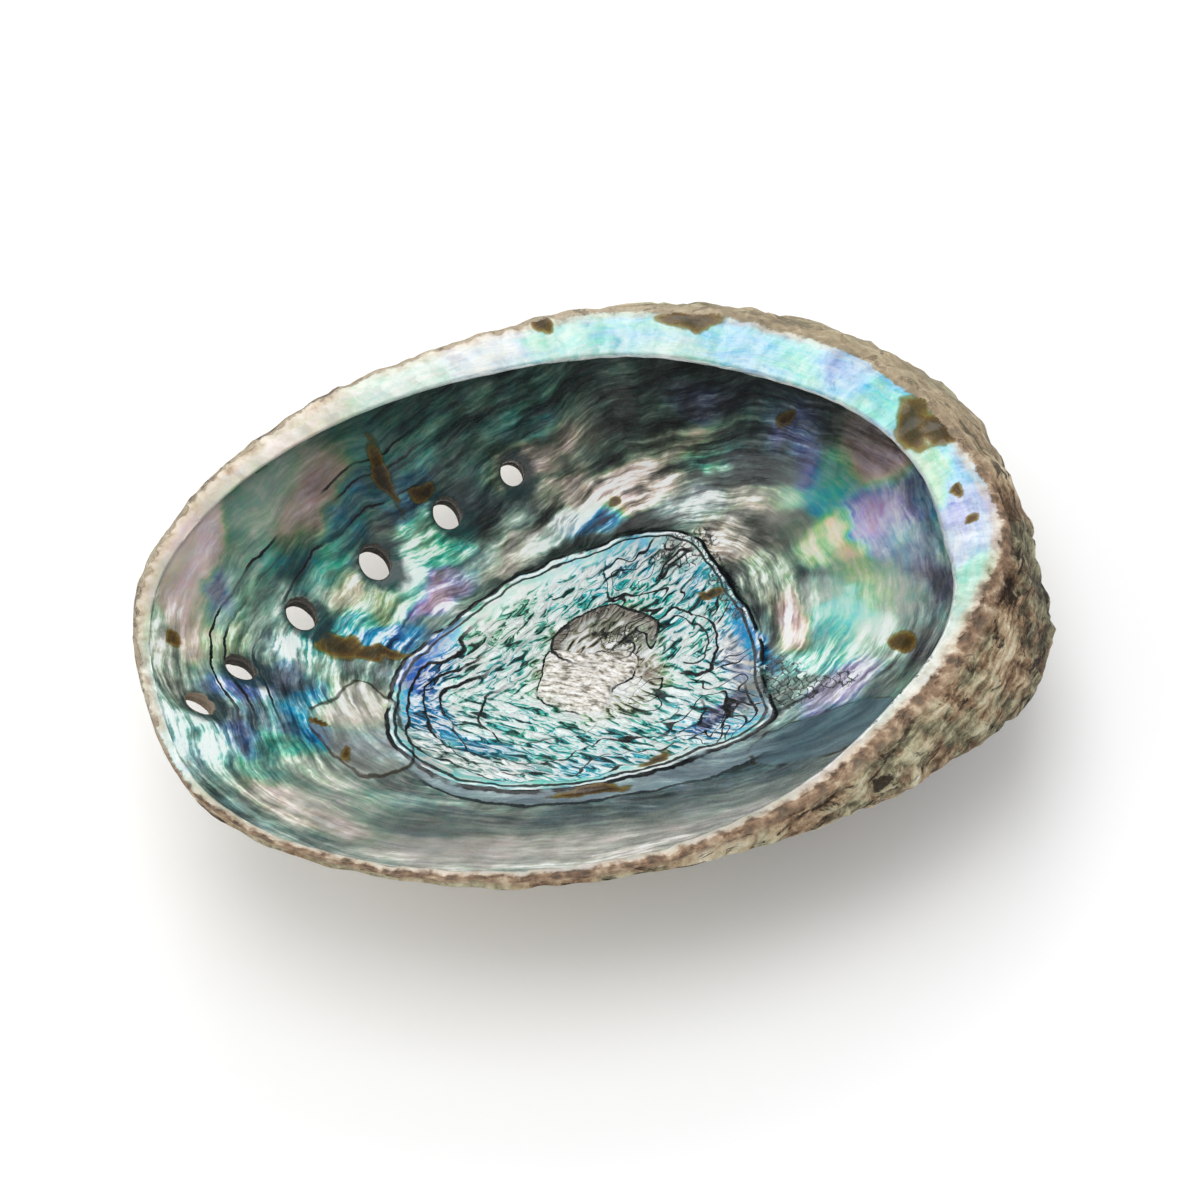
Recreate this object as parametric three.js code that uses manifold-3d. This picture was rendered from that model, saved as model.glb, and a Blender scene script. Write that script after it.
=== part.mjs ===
// An abalone shell lying on its back, hollow side up.
// Millimetres, +Z up. The origin is on the worn flat under the deepest point of the bowl.
// X runs along the shell towards the spire, and Y runs towards the row of breathing pores.
import * as THREE from "three";
import { mergeVertices } from "three/addons/utils/BufferGeometryUtils.js";
import Module from "manifold-3d";

const wasm = await Module();
wasm.setup();

// Driving dimensions
const APERTURE = { x: -8, y: -6, halfLength: 72.5, halfWidth: 55 }; // the oval of the shell's edge
const BOWL_DEPTH = 34; // from the edge's plane down to the deepest point of the hollow
const FLOOR_THICKNESS = 3.9; // at the deepest point, before wear
const WORN_AWAY = 0.8; // rubbed off the back where the shell rests
const EDGE_HEIGHT = FLOOR_THICKNESS + BOWL_DEPTH;
const LIP_DROP = 1.0; // least drop from the crest of the edge to the inner lip
const SHELF_SLOPE = 0.22; // further drop for each millimetre of shelf
const UNDERCUT_SHARE = 0.8; // height of the hollow under the shelf, as a share of its reach
const FLOOR_DISH = 0.12; // share of the rise that is a plain dish rather than a turned-up wall
const OPEN_WALL = 1.8; // turn of a wall that has no dish in it
const DISH_BLEND = 1.5; // range of turn over which the dish comes in
const CRUST_HIGH = 1.3; // above 1, the crust is thickest above half height

// The shell's section at stations round the edge. at is in degrees: 0 is the spire end and 90 the
// pore side. edge moves the crest out from the oval, shelf is the width of the flat lip, undercut is
// how far the hollow runs out under the shelf, turn is how sharply the floor turns up into the wall,
// wall is the thickness at the edge, and crust is the extra growth on the outside.
const STATIONS = [
  { at: 0, edge: 0.0, shelf: 8.9, undercut: 13.5, turn: 3.2, wall: 5.0, crust: 2.4 },
  { at: 20, edge: 0.0, shelf: 9.6, undercut: 16.0, turn: 3.4, wall: 5.0, crust: 4.2 },
  { at: 40, edge: 0.3, shelf: 10.6, undercut: 16.0, turn: 3.8, wall: 5.0, crust: 4.7 },
  { at: 65, edge: 0.9, shelf: 9.5, undercut: 10.5, turn: 4.4, wall: 4.6, crust: 1.8 },
  { at: 90, edge: -0.9, shelf: 7.6, undercut: 4.5, turn: 4.6, wall: 4.2, crust: 0.2 },
  { at: 112, edge: -1.0, shelf: 6.2, undercut: 2.0, turn: 3.4, wall: 3.8, crust: 0.0 },
  { at: 135, edge: -0.5, shelf: 4.4, undercut: 0.8, turn: 2.8, wall: 3.4, crust: 0.0 },
  { at: 155, edge: 0.3, shelf: 3.2, undercut: 0.2, turn: 2.6, wall: 3.0, crust: 0.0 },
  { at: 180, edge: -1.0, shelf: 2.2, undercut: 0.0, turn: 2.4, wall: 2.4, crust: 0.4 },
  { at: 205, edge: 1.6, shelf: 2.0, undercut: 0.0, turn: 1.9, wall: 2.4, crust: 0.3 },
  { at: 235, edge: 0.6, shelf: 2.0, undercut: 0.0, turn: 1.8, wall: 2.6, crust: 0.1 },
  { at: 268, edge: 1.0, shelf: 2.2, undercut: 0.6, turn: 2.1, wall: 3.2, crust: 0.8 },
  { at: 288, edge: 0.2, shelf: 2.6, undercut: 2.5, turn: 2.8, wall: 4.2, crust: 2.0 },
  { at: 305, edge: -1.2, shelf: 3.0, undercut: 5.5, turn: 3.4, wall: 4.8, crust: 3.7 },
  { at: 320, edge: -0.4, shelf: 4.0, undercut: 8.5, turn: 3.6, wall: 5.0, crust: 4.9 },
  { at: 332, edge: 0.5, shelf: 6.2, undercut: 10.5, turn: 3.6, wall: 5.0, crust: 4.5 },
  { at: 343, edge: 2.0, shelf: 10.2, undercut: 12.0, turn: 3.3, wall: 5.0, crust: 3.1 },
];

// The open breathing pores, from the oldest to the one nearest the growing edge.
const PORES = [
  { x: -4.1, y: 35.4, bore: 3.6 },
  { x: -18.1, y: 30.6, bore: 4.5 },
  { x: -33.4, y: 24.0, bore: 4.9 },
  { x: -49.0, y: 15.4, bore: 4.4 },
  { x: -62.4, y: 4.0, bore: 4.2 },
  { x: -71.0, y: -5.0, bore: 4.0 },
];
const PORE_LEAN = 0.55; // 0 bores square to the wall, 1 bores straight down
const PORE_FLARE = 1.35; // the outer end of a pore's cone, as a share of its bore
const PORE_CONE = { inside: 4, outside: 8 }; // how far the cone reaches on either side of the wall

// Faceting
const ANGLES = 78;
const WALL_RINGS = 19; // from the deepest point to the foot of the undercut
const LIP_RINGS = 5; // round the hollow under the shelf
const CREST_RINGS = 4; // over the edge and onto the outside
const BACK_RINGS = 18; // down the outside
const PORE_SIDES = 14;
const MERGE_DISTANCE = 1e-4;
const AIM_STEPS = 20; // tries at aiming a section at a point of the plan

const FULL_TURN = 360;
const PARTS = ["edge", "shelf", "undercut", "turn", "wall", "crust"];

function smoothstep(x) {
  return THREE.MathUtils.smoothstep(x, 0, 1);
}

// The stations on either side of a place in the list, carried round the full turn.
function stationAt(place) {
  const count = STATIONS.length;
  const turns = Math.floor(place / count);
  const station = STATIONS[place - turns * count];
  return { ...station, at: station.at + turns * FULL_TURN };
}

// A section between stations: a smooth closed curve through each of its values.
function sectionAt(degrees) {
  const next = STATIONS.findIndex((station) => station.at > degrees);
  const start = (next < 0 ? STATIONS.length : next) - 1;
  const [before, from, to, after] = [-1, 0, 1, 2].map((step) => stationAt(start + step));
  const span = to.at - from.at;
  const u = (degrees - from.at) / span;
  const section = {};
  for (const part of PARTS) {
    const slopeFrom = (to[part] - before[part]) / (to.at - before.at);
    const slopeTo = (after[part] - from[part]) / (after.at - from.at);
    const held = from[part] * (2 * u ** 3 - 3 * u ** 2 + 1) + to[part] * (3 * u ** 2 - 2 * u ** 3);
    const swung = slopeFrom * (u ** 3 - 2 * u ** 2 + u) + slopeTo * (u ** 3 - u ** 2);
    section[part] = held + swung * span;
  }
  return section;
}

// The frame of a section: which way it faces from the deepest point, and its main heights.
function frameAt(degrees) {
  const section = sectionAt(degrees);
  const angle = THREE.MathUtils.degToRad(degrees);
  const oval = new THREE.Vector2(
    APERTURE.halfLength * Math.cos(angle),
    APERTURE.halfWidth * Math.sin(angle),
  );
  const crest = oval.clone().setLength(oval.length() + section.edge);
  crest.add(new THREE.Vector2(APERTURE.x, APERTURE.y));
  const undercut = Math.max(section.undercut, 0);
  const lipRadius = crest.length() - section.shelf;
  const lipHeight = EDGE_HEIGHT - LIP_DROP - SHELF_SLOPE * section.shelf;
  return {
    ...section,
    undercut,
    facing: crest.clone().normalize(),
    crestRadius: crest.length(),
    lipRadius,
    lipHeight,
    wallRadius: lipRadius + undercut,
    wallHeight: lipHeight - UNDERCUT_SHARE * undercut,
  };
}

// A point of the inner wall, a share of the way out from the deepest point.
function innerWall(frame, share) {
  const dish = FLOOR_DISH * smoothstep((frame.turn - OPEN_WALL) / DISH_BLEND);
  const rise = dish * share ** 2 + (1 - dish) * share ** frame.turn;
  const height = FLOOR_THICKNESS + (frame.wallHeight - FLOOR_THICKNESS) * rise;
  return new THREE.Vector2(frame.wallRadius * share, height);
}

// The direction square to the inner wall, out of the shell's back.
function outward(frame, share) {
  const step = 1e-3;
  const here = innerWall(frame, Math.max(share - step, 0));
  const along = innerWall(frame, share + step).sub(here).normalize();
  return new THREE.Vector2(along.y, -along.x);
}

// The outer crust swells the back between the worn flat and the edge.
function withCrust(frame, point) {
  const height = THREE.MathUtils.clamp(point.y / EDGE_HEIGHT, 0, 1);
  point.x += frame.crust * Math.sin(Math.PI * height ** CRUST_HIGH);
  return point;
}

// A point of the back, behind the inner wall's point at the same share.
function outerWall(frame, share) {
  const gain = smoothstep(share);
  const thickness = THREE.MathUtils.lerp(FLOOR_THICKNESS, frame.wall, gain);
  return innerWall(frame, share).addScaledVector(outward(frame, share), thickness);
}

// One section: from the deepest point up the wall, over the lip and the edge, and down the back.
// Its first and last points are on the pole line and are made once for the whole shell.
function sectionOutline(degrees) {
  const frame = frameAt(degrees);
  const outline = [];
  for (let i = 1; i <= WALL_RINGS; i += 1) {
    outline.push(innerWall(frame, i / WALL_RINGS));
  }
  for (let i = 1; i <= LIP_RINGS; i += 1) {
    const swing = (Math.PI / 2) * (i / LIP_RINGS);
    outline.push(
      new THREE.Vector2(
        frame.lipRadius + frame.undercut * Math.cos(swing),
        THREE.MathUtils.lerp(frame.wallHeight, frame.lipHeight, Math.sin(swing)),
      ),
    );
  }
  const shoulder = outerWall(frame, 1);
  for (let i = 0; i < CREST_RINGS; i += 1) {
    const swing = (Math.PI / 2) * (1 - i / CREST_RINGS);
    const point = new THREE.Vector2(
      THREE.MathUtils.lerp(frame.crestRadius, shoulder.x, Math.cos(swing)),
      THREE.MathUtils.lerp(shoulder.y, EDGE_HEIGHT, Math.sin(swing)),
    );
    outline.push(withCrust(frame, point));
  }
  for (let i = BACK_RINGS; i >= 1; i -= 1) {
    outline.push(withCrust(frame, outerWall(frame, i / BACK_RINGS)));
  }
  return outline.map((point) => [
    frame.facing.x * point.x,
    frame.facing.y * point.x,
    point.y - WORN_AWAY,
  ]);
}

// The closed skin: sections joined round the shell, with a fan at each pole.
function shellSkin() {
  const sections = [];
  for (let i = 0; i < ANGLES; i += 1) {
    sections.push(sectionOutline((FULL_TURN * i) / ANGLES));
  }
  const rings = sections[0].length;
  const deepest = [0, 0, FLOOR_THICKNESS - WORN_AWAY];
  const underneath = [0, 0, -WORN_AWAY];
  const positions = [...sections.flat(), deepest, underneath].flat();
  const deepestIndex = ANGLES * rings;
  const triangles = [];
  for (let i = 0; i < ANGLES; i += 1) {
    const here = i * rings;
    const next = ((i + 1) % ANGLES) * rings;
    triangles.push(deepestIndex, here, next);
    triangles.push(deepestIndex + 1, next + rings - 1, here + rings - 1);
    for (let j = 0; j < rings - 1; j += 1) {
      triangles.push(here + j, here + j + 1, next + j + 1);
      triangles.push(here + j, next + j + 1, next + j);
    }
  }
  const skin = new THREE.BufferGeometry();
  skin.setAttribute("position", new THREE.Float32BufferAttribute(positions, 3));
  skin.setIndex(triangles);
  return skin;
}

// The section that faces a point of the plan.
function frameFacing(heading) {
  let degrees = THREE.MathUtils.radToDeg(heading.angle());
  for (let i = 0; i < AIM_STEPS; i += 1) {
    const miss = Math.asin(frameAt(degrees).facing.cross(heading));
    degrees = (degrees + THREE.MathUtils.radToDeg(miss) + FULL_TURN) % FULL_TURN;
  }
  return frameAt(degrees);
}

// The drill of one pore: a cone through the wall that opens towards the back.
function poreDrill({ x, y, bore }) {
  const plan = new THREE.Vector2(x, y);
  const heading = plan.clone().normalize();
  const frame = frameFacing(heading);
  const share = plan.length() / frame.wallRadius;
  const square = outward(frame, share);
  const out = new THREE.Vector3(heading.x * square.x, heading.y * square.x, square.y);
  out.lerp(new THREE.Vector3(0, 0, -1), PORE_LEAN).normalize();
  const { inside, outside } = PORE_CONE;
  const drill = new THREE.CylinderGeometry(
    (bore / 2) * PORE_FLARE,
    bore / 2,
    inside + outside,
    PORE_SIDES,
  );
  drill.translate(0, (outside - inside) / 2, 0);
  drill.applyQuaternion(new THREE.Quaternion().setFromUnitVectors(THREE.Object3D.DEFAULT_UP, out));
  return drill.translate(x, y, innerWall(frame, share).y - WORN_AWAY);
}

// What the beach rubs off the back: everything below the ground plane.
function wornSlab() {
  const size = 4 * APERTURE.halfLength;
  return new THREE.BoxGeometry(size, size, size).translate(0, 0, -size / 2);
}

function toSolid(geometry) {
  const bare = geometry.clone();
  bare.deleteAttribute("normal");
  bare.deleteAttribute("uv");
  const merged = mergeVertices(bare, MERGE_DISTANCE);
  return new wasm.Manifold(
    new wasm.Mesh({
      numProp: 3,
      vertProperties: merged.attributes.position.array,
      triVerts: new Uint32Array(merged.index.array),
    }),
  );
}

function toGeometry(solid) {
  const { vertProperties, triVerts } = solid.getMesh();
  const geometry = new THREE.BufferGeometry();
  geometry.setAttribute("position", new THREE.BufferAttribute(vertProperties, 3));
  geometry.setIndex(new THREE.BufferAttribute(triVerts, 1));
  geometry.computeVertexNormals();
  return geometry;
}

function shellGeometry() {
  let shell = toSolid(shellSkin()).subtract(toSolid(wornSlab()));
  for (const pore of PORES) {
    shell = shell.subtract(toSolid(poreDrill(pore)));
  }
  return toGeometry(shell);
}

const nacre = new THREE.MeshStandardMaterial({
  color: "#8fa8a2",
  roughness: 0.3,
  metalness: 0,
});

const shell = new THREE.Mesh(shellGeometry(), nacre);
shell.name = "abalone_shell";

const abalone = new THREE.Group();
abalone.add(shell);

export default abalone;
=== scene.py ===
import bpy
import numpy as np
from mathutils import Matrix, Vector
from mathutils.kdtree import KDTree


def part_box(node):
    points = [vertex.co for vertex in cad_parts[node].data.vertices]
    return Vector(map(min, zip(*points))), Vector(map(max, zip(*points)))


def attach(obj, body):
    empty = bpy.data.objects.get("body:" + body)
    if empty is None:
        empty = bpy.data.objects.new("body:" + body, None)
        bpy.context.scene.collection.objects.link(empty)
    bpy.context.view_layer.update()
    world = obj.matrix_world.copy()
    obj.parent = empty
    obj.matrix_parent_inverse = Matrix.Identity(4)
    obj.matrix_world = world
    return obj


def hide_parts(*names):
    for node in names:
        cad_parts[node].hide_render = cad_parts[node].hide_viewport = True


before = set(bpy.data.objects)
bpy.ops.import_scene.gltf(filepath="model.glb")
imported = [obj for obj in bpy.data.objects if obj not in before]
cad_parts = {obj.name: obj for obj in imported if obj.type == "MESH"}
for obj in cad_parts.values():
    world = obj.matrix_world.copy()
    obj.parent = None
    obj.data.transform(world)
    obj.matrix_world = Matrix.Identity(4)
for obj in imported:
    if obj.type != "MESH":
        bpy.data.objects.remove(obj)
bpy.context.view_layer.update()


# THE SHELL'S FORM. An abalone shell is one piece that the animal grew round itself: pearly nacre
# inside, chalky calcite outside. It lies here on its back, so the hollow is up and the edge is on
# top. Its sections are measured from the deepest point of the hollow, out to stations on the edge.
shell_low, shell_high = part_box("abalone_shell")
SHELL_HEIGHT = 37.1
MM = (shell_high.z - shell_low.z) / SHELL_HEIGHT

APERTURE_X, APERTURE_Y = -8.0, -6.0
HALF_LENGTH, HALF_WIDTH = 72.5, 55.0
FLOOR = 3.9
WORN = 0.8
EDGE_HEIGHT = SHELL_HEIGHT + WORN
LIP_DROP, SHELF_SLOPE, UNDERCUT_SHARE = 1.0, 0.22, 0.8
DISH, OPEN_WALL, DISH_BLEND = 0.12, 1.8, 1.5
CRUST_HIGH = 1.3

# Degrees round the edge from the spire end, edge out from the oval, lip's shelf, undercut below
# the shelf, turn-up of the floor, wall thickness, and crust on the outside, in millimetres.
STATIONS = np.array([
    (0, 0.0, 8.9, 13.5, 3.2, 5.0, 2.4),
    (20, 0.0, 9.6, 16.0, 3.4, 5.0, 4.2),
    (40, 0.3, 10.6, 16.0, 3.8, 5.0, 4.7),
    (65, 0.9, 9.5, 10.5, 4.4, 4.6, 1.8),
    (90, -0.9, 7.6, 4.5, 4.6, 4.2, 0.2),
    (112, -1.0, 6.2, 2.0, 3.4, 3.8, 0.0),
    (135, -0.5, 4.4, 0.8, 2.8, 3.4, 0.0),
    (155, 0.3, 3.2, 0.2, 2.6, 3.0, 0.0),
    (180, -1.0, 2.2, 0.0, 2.4, 2.4, 0.4),
    (205, 1.6, 2.0, 0.0, 1.9, 2.4, 0.3),
    (235, 0.6, 2.0, 0.0, 1.8, 2.6, 0.1),
    (268, 1.0, 2.2, 0.6, 2.1, 3.2, 0.8),
    (288, 0.2, 2.6, 2.5, 2.8, 4.2, 2.0),
    (305, -1.2, 3.0, 5.5, 3.4, 4.8, 3.7),
    (320, -0.4, 4.0, 8.5, 3.6, 5.0, 4.9),
    (332, 0.5, 6.2, 10.5, 3.6, 5.0, 4.5),
    (343, 2.0, 10.2, 12.0, 3.3, 5.0, 3.1),
])

ANGLES = 420
HOLLOW_RINGS, LIP_RINGS, SHELF_RINGS, CREST_RINGS, BACK_RINGS = 118, 8, 9, 9, 68


def smooth(value, start=0.0, end=1.0):
    """0 before start and 1 after end, with an easy change between them."""
    share = np.clip((value - start) / (end - start), 0, 1)
    return share * share * (3 - 2 * share)


def closed_curve(at, values, degrees):
    """A smooth closed curve through values at the given degrees, read at other degrees."""
    at = np.concatenate([at - 360, at, at + 360])
    values = np.tile(values, 3)
    slopes = np.gradient(values, at)
    slopes[1:-1] = (values[2:] - values[:-2]) / (at[2:] - at[:-2])
    degrees = np.mod(degrees, 360)
    i = np.searchsorted(at, degrees, side="right") - 1
    span = at[i + 1] - at[i]
    u = (degrees - at[i]) / span
    held = values[i] * (2 * u**3 - 3 * u**2 + 1) + values[i + 1] * (3 * u**2 - 2 * u**3)
    swung = slopes[i] * (u**3 - 2 * u**2 + u) + slopes[i + 1] * (u**3 - u**2)
    return held + swung * span


degrees = np.arange(ANGLES) * 360 / ANGLES
edge, shelf, undercut, turn, wall, crust = (
    closed_curve(STATIONS[:, 0], STATIONS[:, part], degrees)[:, None] for part in range(1, 7)
)
LEAST_UNDERCUT = 0.35
undercut = np.maximum(undercut, LEAST_UNDERCUT)
angle = np.radians(degrees)
oval = np.stack([HALF_LENGTH * np.cos(angle), HALF_WIDTH * np.sin(angle)], -1)
oval *= 1 + edge / np.linalg.norm(oval, axis=1, keepdims=True)
crest_place = oval + (APERTURE_X, APERTURE_Y)
crest_radius = np.linalg.norm(crest_place, axis=1, keepdims=True)
facing = crest_place / crest_radius
lip_radius = crest_radius - shelf
lip_height = EDGE_HEIGHT - LIP_DROP - SHELF_SLOPE * shelf
wall_radius = lip_radius + undercut
wall_height = lip_height - UNDERCUT_SHARE * undercut


def hollow(share):
    """Radius and height of the inner wall at shares of the way out from the deepest point."""
    dish = DISH * smooth((turn - OPEN_WALL) / DISH_BLEND)
    rise = dish * share**2 + (1 - dish) * share**turn
    return wall_radius * share, FLOOR + (wall_height - FLOOR) * rise


def back(share):
    """Radius and height of the outside, behind the inner wall's point at the same share."""
    step = 1e-3
    r0, z0 = hollow(np.maximum(share - step, 0))
    r1, z1 = hollow(share + step)
    length = np.hypot(r1 - r0, z1 - z0)
    radius, height = hollow(share)
    thickness = FLOOR + (wall - FLOOR) * smooth(share)
    return radius + (z1 - z0) / length * thickness, height - (r1 - r0) / length * thickness


def with_crust(radius, height):
    """The outside swollen by its crust, most of all between the worn flat and the edge."""
    swell = np.sin(np.pi * np.clip(height / EDGE_HEIGHT, 0, 1) ** CRUST_HIGH)
    return radius + crust * swell, height


hollow_share = np.arange(1, HOLLOW_RINGS + 1)[None] / HOLLOW_RINGS
lip_swing = np.pi / 2 * np.arange(1, LIP_RINGS + 1)[None] / LIP_RINGS
shelf_share = np.arange(1, SHELF_RINGS + 1)[None] / SHELF_RINGS
crest_swing = np.pi / 2 * (1 - np.arange(1, CREST_RINGS + 1)[None] / CREST_RINGS)
back_share = np.arange(BACK_RINGS - 1, 0, -1)[None] / BACK_RINGS
shoulder_radius, shoulder_height = back(np.ones((1, 1)))
SHELF_CROWN, NARROW_SHELF, WIDE_SHELF = 0.5, 2, 9
bands = [
    hollow(hollow_share),
    (
        lip_radius + undercut * np.cos(lip_swing),
        wall_height + (lip_height - wall_height) * np.sin(lip_swing),
    ),
    (
        lip_radius + shelf * shelf_share,
        lip_height
        + (EDGE_HEIGHT - lip_height) * shelf_share
        + SHELF_CROWN * np.sin(np.pi * shelf_share) * smooth(shelf, NARROW_SHELF, WIDE_SHELF),
    ),
    with_crust(
        crest_radius + (shoulder_radius - crest_radius) * np.cos(crest_swing),
        shoulder_height + (EDGE_HEIGHT - shoulder_height) * np.sin(crest_swing),
    ),
    with_crust(*back(back_share)),
]
radius = np.concatenate([band[0] for band in bands], axis=1)
height = np.concatenate([band[1] for band in bands], axis=1) - WORN
form = np.stack([facing[:, :1] * radius, facing[:, 1:] * radius, height], -1)
LIP_FOOT = HOLLOW_RINGS
LIP_TOP = LIP_FOOT + LIP_RINGS
CREST = LIP_TOP + SHELF_RINGS
rings = form.shape[1]
ring = np.arange(rings)[None]
step_out = np.linalg.norm(np.diff(form, axis=1), axis=2)
run = np.concatenate([radius[:, :1], radius[:, :1] + np.cumsum(step_out, axis=1)], axis=1)
from_edge = run[:, CREST - 1 : CREST] - run
from_lip = run[:, LIP_TOP - 1 : LIP_TOP] - run
inside = (ring < CREST) * 1.0
x, y, z = form[..., 0], form[..., 1], form[..., 2]
around = degrees[:, None] + 0 * x


def waves(points, size, seed):
    """Soft random waves from about -1 to 1, one to each size, in as many dimensions as points."""
    points = np.asarray(points) / size + seed * 17.31
    cell = np.floor(points)
    part = points - cell
    ease = part**3 * (part * (part * 6 - 15) + 10)
    total = 0
    axes = points.shape[-1]
    mixers = np.array([127.1, 311.7, 74.7])[:axes]
    for corner in np.ndindex(*(2,) * axes):
        toss = np.sin((cell + corner) @ mixers) * 43758.5453
        pulls = [np.mod(toss * (k + 1), 1) * 2 - 1 for k in range(axes)]
        height_here = sum(pull * (part[..., k] - corner[k]) for k, pull in enumerate(pulls))
        weight = np.prod(np.where(corner, ease, 1 - ease), axis=-1)
        total = total + height_here * weight
    return total * 1.6


def rough(points, size, seed, octaves=3):
    """Waves with finer waves on them."""
    return sum(waves(points, size / 2**k, seed + k) / 2**k for k in range(octaves))


def bump(px, py, reach):
    """1 at a place of the plan, fading out over reach."""
    return np.exp(-(((x - px) ** 2 + (y - py) ** 2) / reach**2))


def ridge(distance, half_width):
    """1 along a line, fading out to each side of it."""
    return np.exp(-((distance / half_width) ** 2))


# THE MUSCLE SCAR. Where the animal's foot muscle held the shell, the nacre is a raised island in
# the middle of the hollow: a double ridge round it, wavy terraces inside the ridge, and wrinkles.
SCAR_X, SCAR_Y = -6.0, -8.0
SCAR_OUTLINE = np.array([
    (0, 32.4), (20, 34.0), (35, 37.0), (50, 36.5), (65, 31.0), (90, 26.8), (115, 25.4),
    (140, 28.0), (165, 33.2), (190, 36.3), (215, 34.0), (240, 29.2), (265, 25.6), (300, 26.6),
    (325, 33.0), (342, 30.8),
])
plan = np.stack([x, y], -1)
scar_angle = np.degrees(np.arctan2(y - SCAR_Y, x - SCAR_X))
scar_radius = np.hypot(x - SCAR_X, y - SCAR_Y)
scar_edge_radius = closed_curve(SCAR_OUTLINE[:, 0], SCAR_OUTLINE[:, 1], scar_angle)
OUTLINE_WANDER, OUTLINE_WAVE = 0.9, 9
scar_edge_radius = scar_edge_radius + OUTLINE_WANDER * rough(plan, OUTLINE_WAVE, 3)
FAR_OUTSIDE = -30
scar = np.where(inside > 0, scar_edge_radius - scar_radius, FAR_OUTSIDE)

# Ridges are (distance inside the outline, lift, half width), and terraces (distance inside, fall).
SCAR_RISE, SCAR_FOOT, SCAR_TOP = 0.55, -0.6, 0.8
SCAR_RIDGES = [(0, 0.5, 0.55), (1.7, 0.35, 0.5)]
TERRACES = [(3.4, 0.45), (7.0, 0.5), (11.0, 0.4), (16.5, 0.35)]
TERRACE_WANDER, TERRACE_WAVE, WANDER_FROM, WANDER_FULL = 2.6, 12, 1, 6
TERRACE_SLOPE, TERRACE_LIP, TERRACE_LIP_WIDTH = 0.35, 0.2, 0.5
scar_lift = SCAR_RISE * smooth(scar, SCAR_FOOT, SCAR_TOP)
for level, lift, half_width in SCAR_RIDGES:
    scar_lift = scar_lift + lift * ridge(scar - level, half_width)
terrace = scar + TERRACE_WANDER * rough(plan, TERRACE_WAVE, 23) * smooth(scar, WANDER_FROM, WANDER_FULL)
for level, fall in TERRACES:
    contour = terrace - level
    scar_lift = scar_lift - fall * smooth(contour, -TERRACE_SLOPE, TERRACE_SLOPE)
    scar_lift = scar_lift + TERRACE_LIP * ridge(contour, TERRACE_LIP_WIDTH)
WRINKLE_HEADING, WRINKLE_STRETCH, WRINKLE_SIZE = np.radians(21), 2.6, 1.5
WRINKLE_WANDER, WRINKLE_WAVE, WRINKLE_SHARPNESS, WRINKLE_LIFT = 0.6, 5, 2.2, 0.22
along = x * np.cos(WRINKLE_HEADING) + y * np.sin(WRINKLE_HEADING)
across = y * np.cos(WRINKLE_HEADING) - x * np.sin(WRINKLE_HEADING)
wrinkle_plan = np.stack([along / WRINKLE_STRETCH, across], -1) + WRINKLE_WANDER * np.stack(
    [waves(plan, WRINKLE_WAVE, 41), waves(plan, WRINKLE_WAVE, 42)], -1
)
wrinkles = 1 - np.abs(waves(wrinkle_plan, WRINKLE_SIZE, 43)) * WRINKLE_SHARPNESS
wrinkle_zone = smooth(scar, 3, 8)


def island(centre_x, centre_y, outline, ragged, size, seed):
    """Millimetres inside a closed outline of (degrees, radius) about a centre, less outside it."""
    outline = np.array(outline)
    heading = np.degrees(np.arctan2(y - centre_y, x - centre_x))
    reach = closed_curve(outline[:, 0], outline[:, 1], heading) + ragged * rough(plan, size, seed)
    return np.where(inside > 0, reach - np.hypot(x - centre_x, y - centre_y), FAR_OUTSIDE)


HEART = [
    (11, 8.2), (45, 5.4), (77, 4.6), (105, 6.0), (130, 9.2), (160, 9.0), (190, 11.0),
    (225, 9.4), (257, 8.6), (285, 5.2), (312, 4.6), (340, 6.2),
]
BROW = [
    (5, 8.8), (45, 7.6), (75, 8.2), (110, 8.0), (145, 9.5), (170, 11.0), (200, 8.0), (250, 5.0),
    (300, 5.0), (340, 7.0),
]
LOBE = [
    (0, 6.6), (40, 6.0), (75, 7.0), (110, 5.2), (150, 4.0), (200, 3.4), (240, 6.0), (285, 8.4),
    (320, 7.0),
]
heart = island(-3.0, -5.0, HEART, 0.45, 4, 51)
brow = island(2.5, 0.5, BROW, 0.5, 6, 53)
lobe = island(13.5, -3.0, LOBE, 0.9, 5, 55)
HEART_LIFT, HEART_ROUGHNESS, HEART_GRAIN = 0.8, 0.35, 2.6
BROW_LIFT, LOBE_LIFT = 0.35, 0.3
scar_lift = scar_lift + WRINKLE_LIFT * wrinkle_zone * wrinkles
heart_rise = HEART_LIFT + HEART_ROUGHNESS * rough(plan, HEART_GRAIN, 61)
scar_lift = scar_lift + smooth(heart, -0.15, 0.5) * heart_rise
scar_lift = scar_lift + BROW_LIFT * smooth(brow, -0.2, 0.3) * smooth(heart, 2.5, 0)
scar_lift = scar_lift + LOBE_LIFT * smooth(lobe, -0.2, 0.3)

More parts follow.
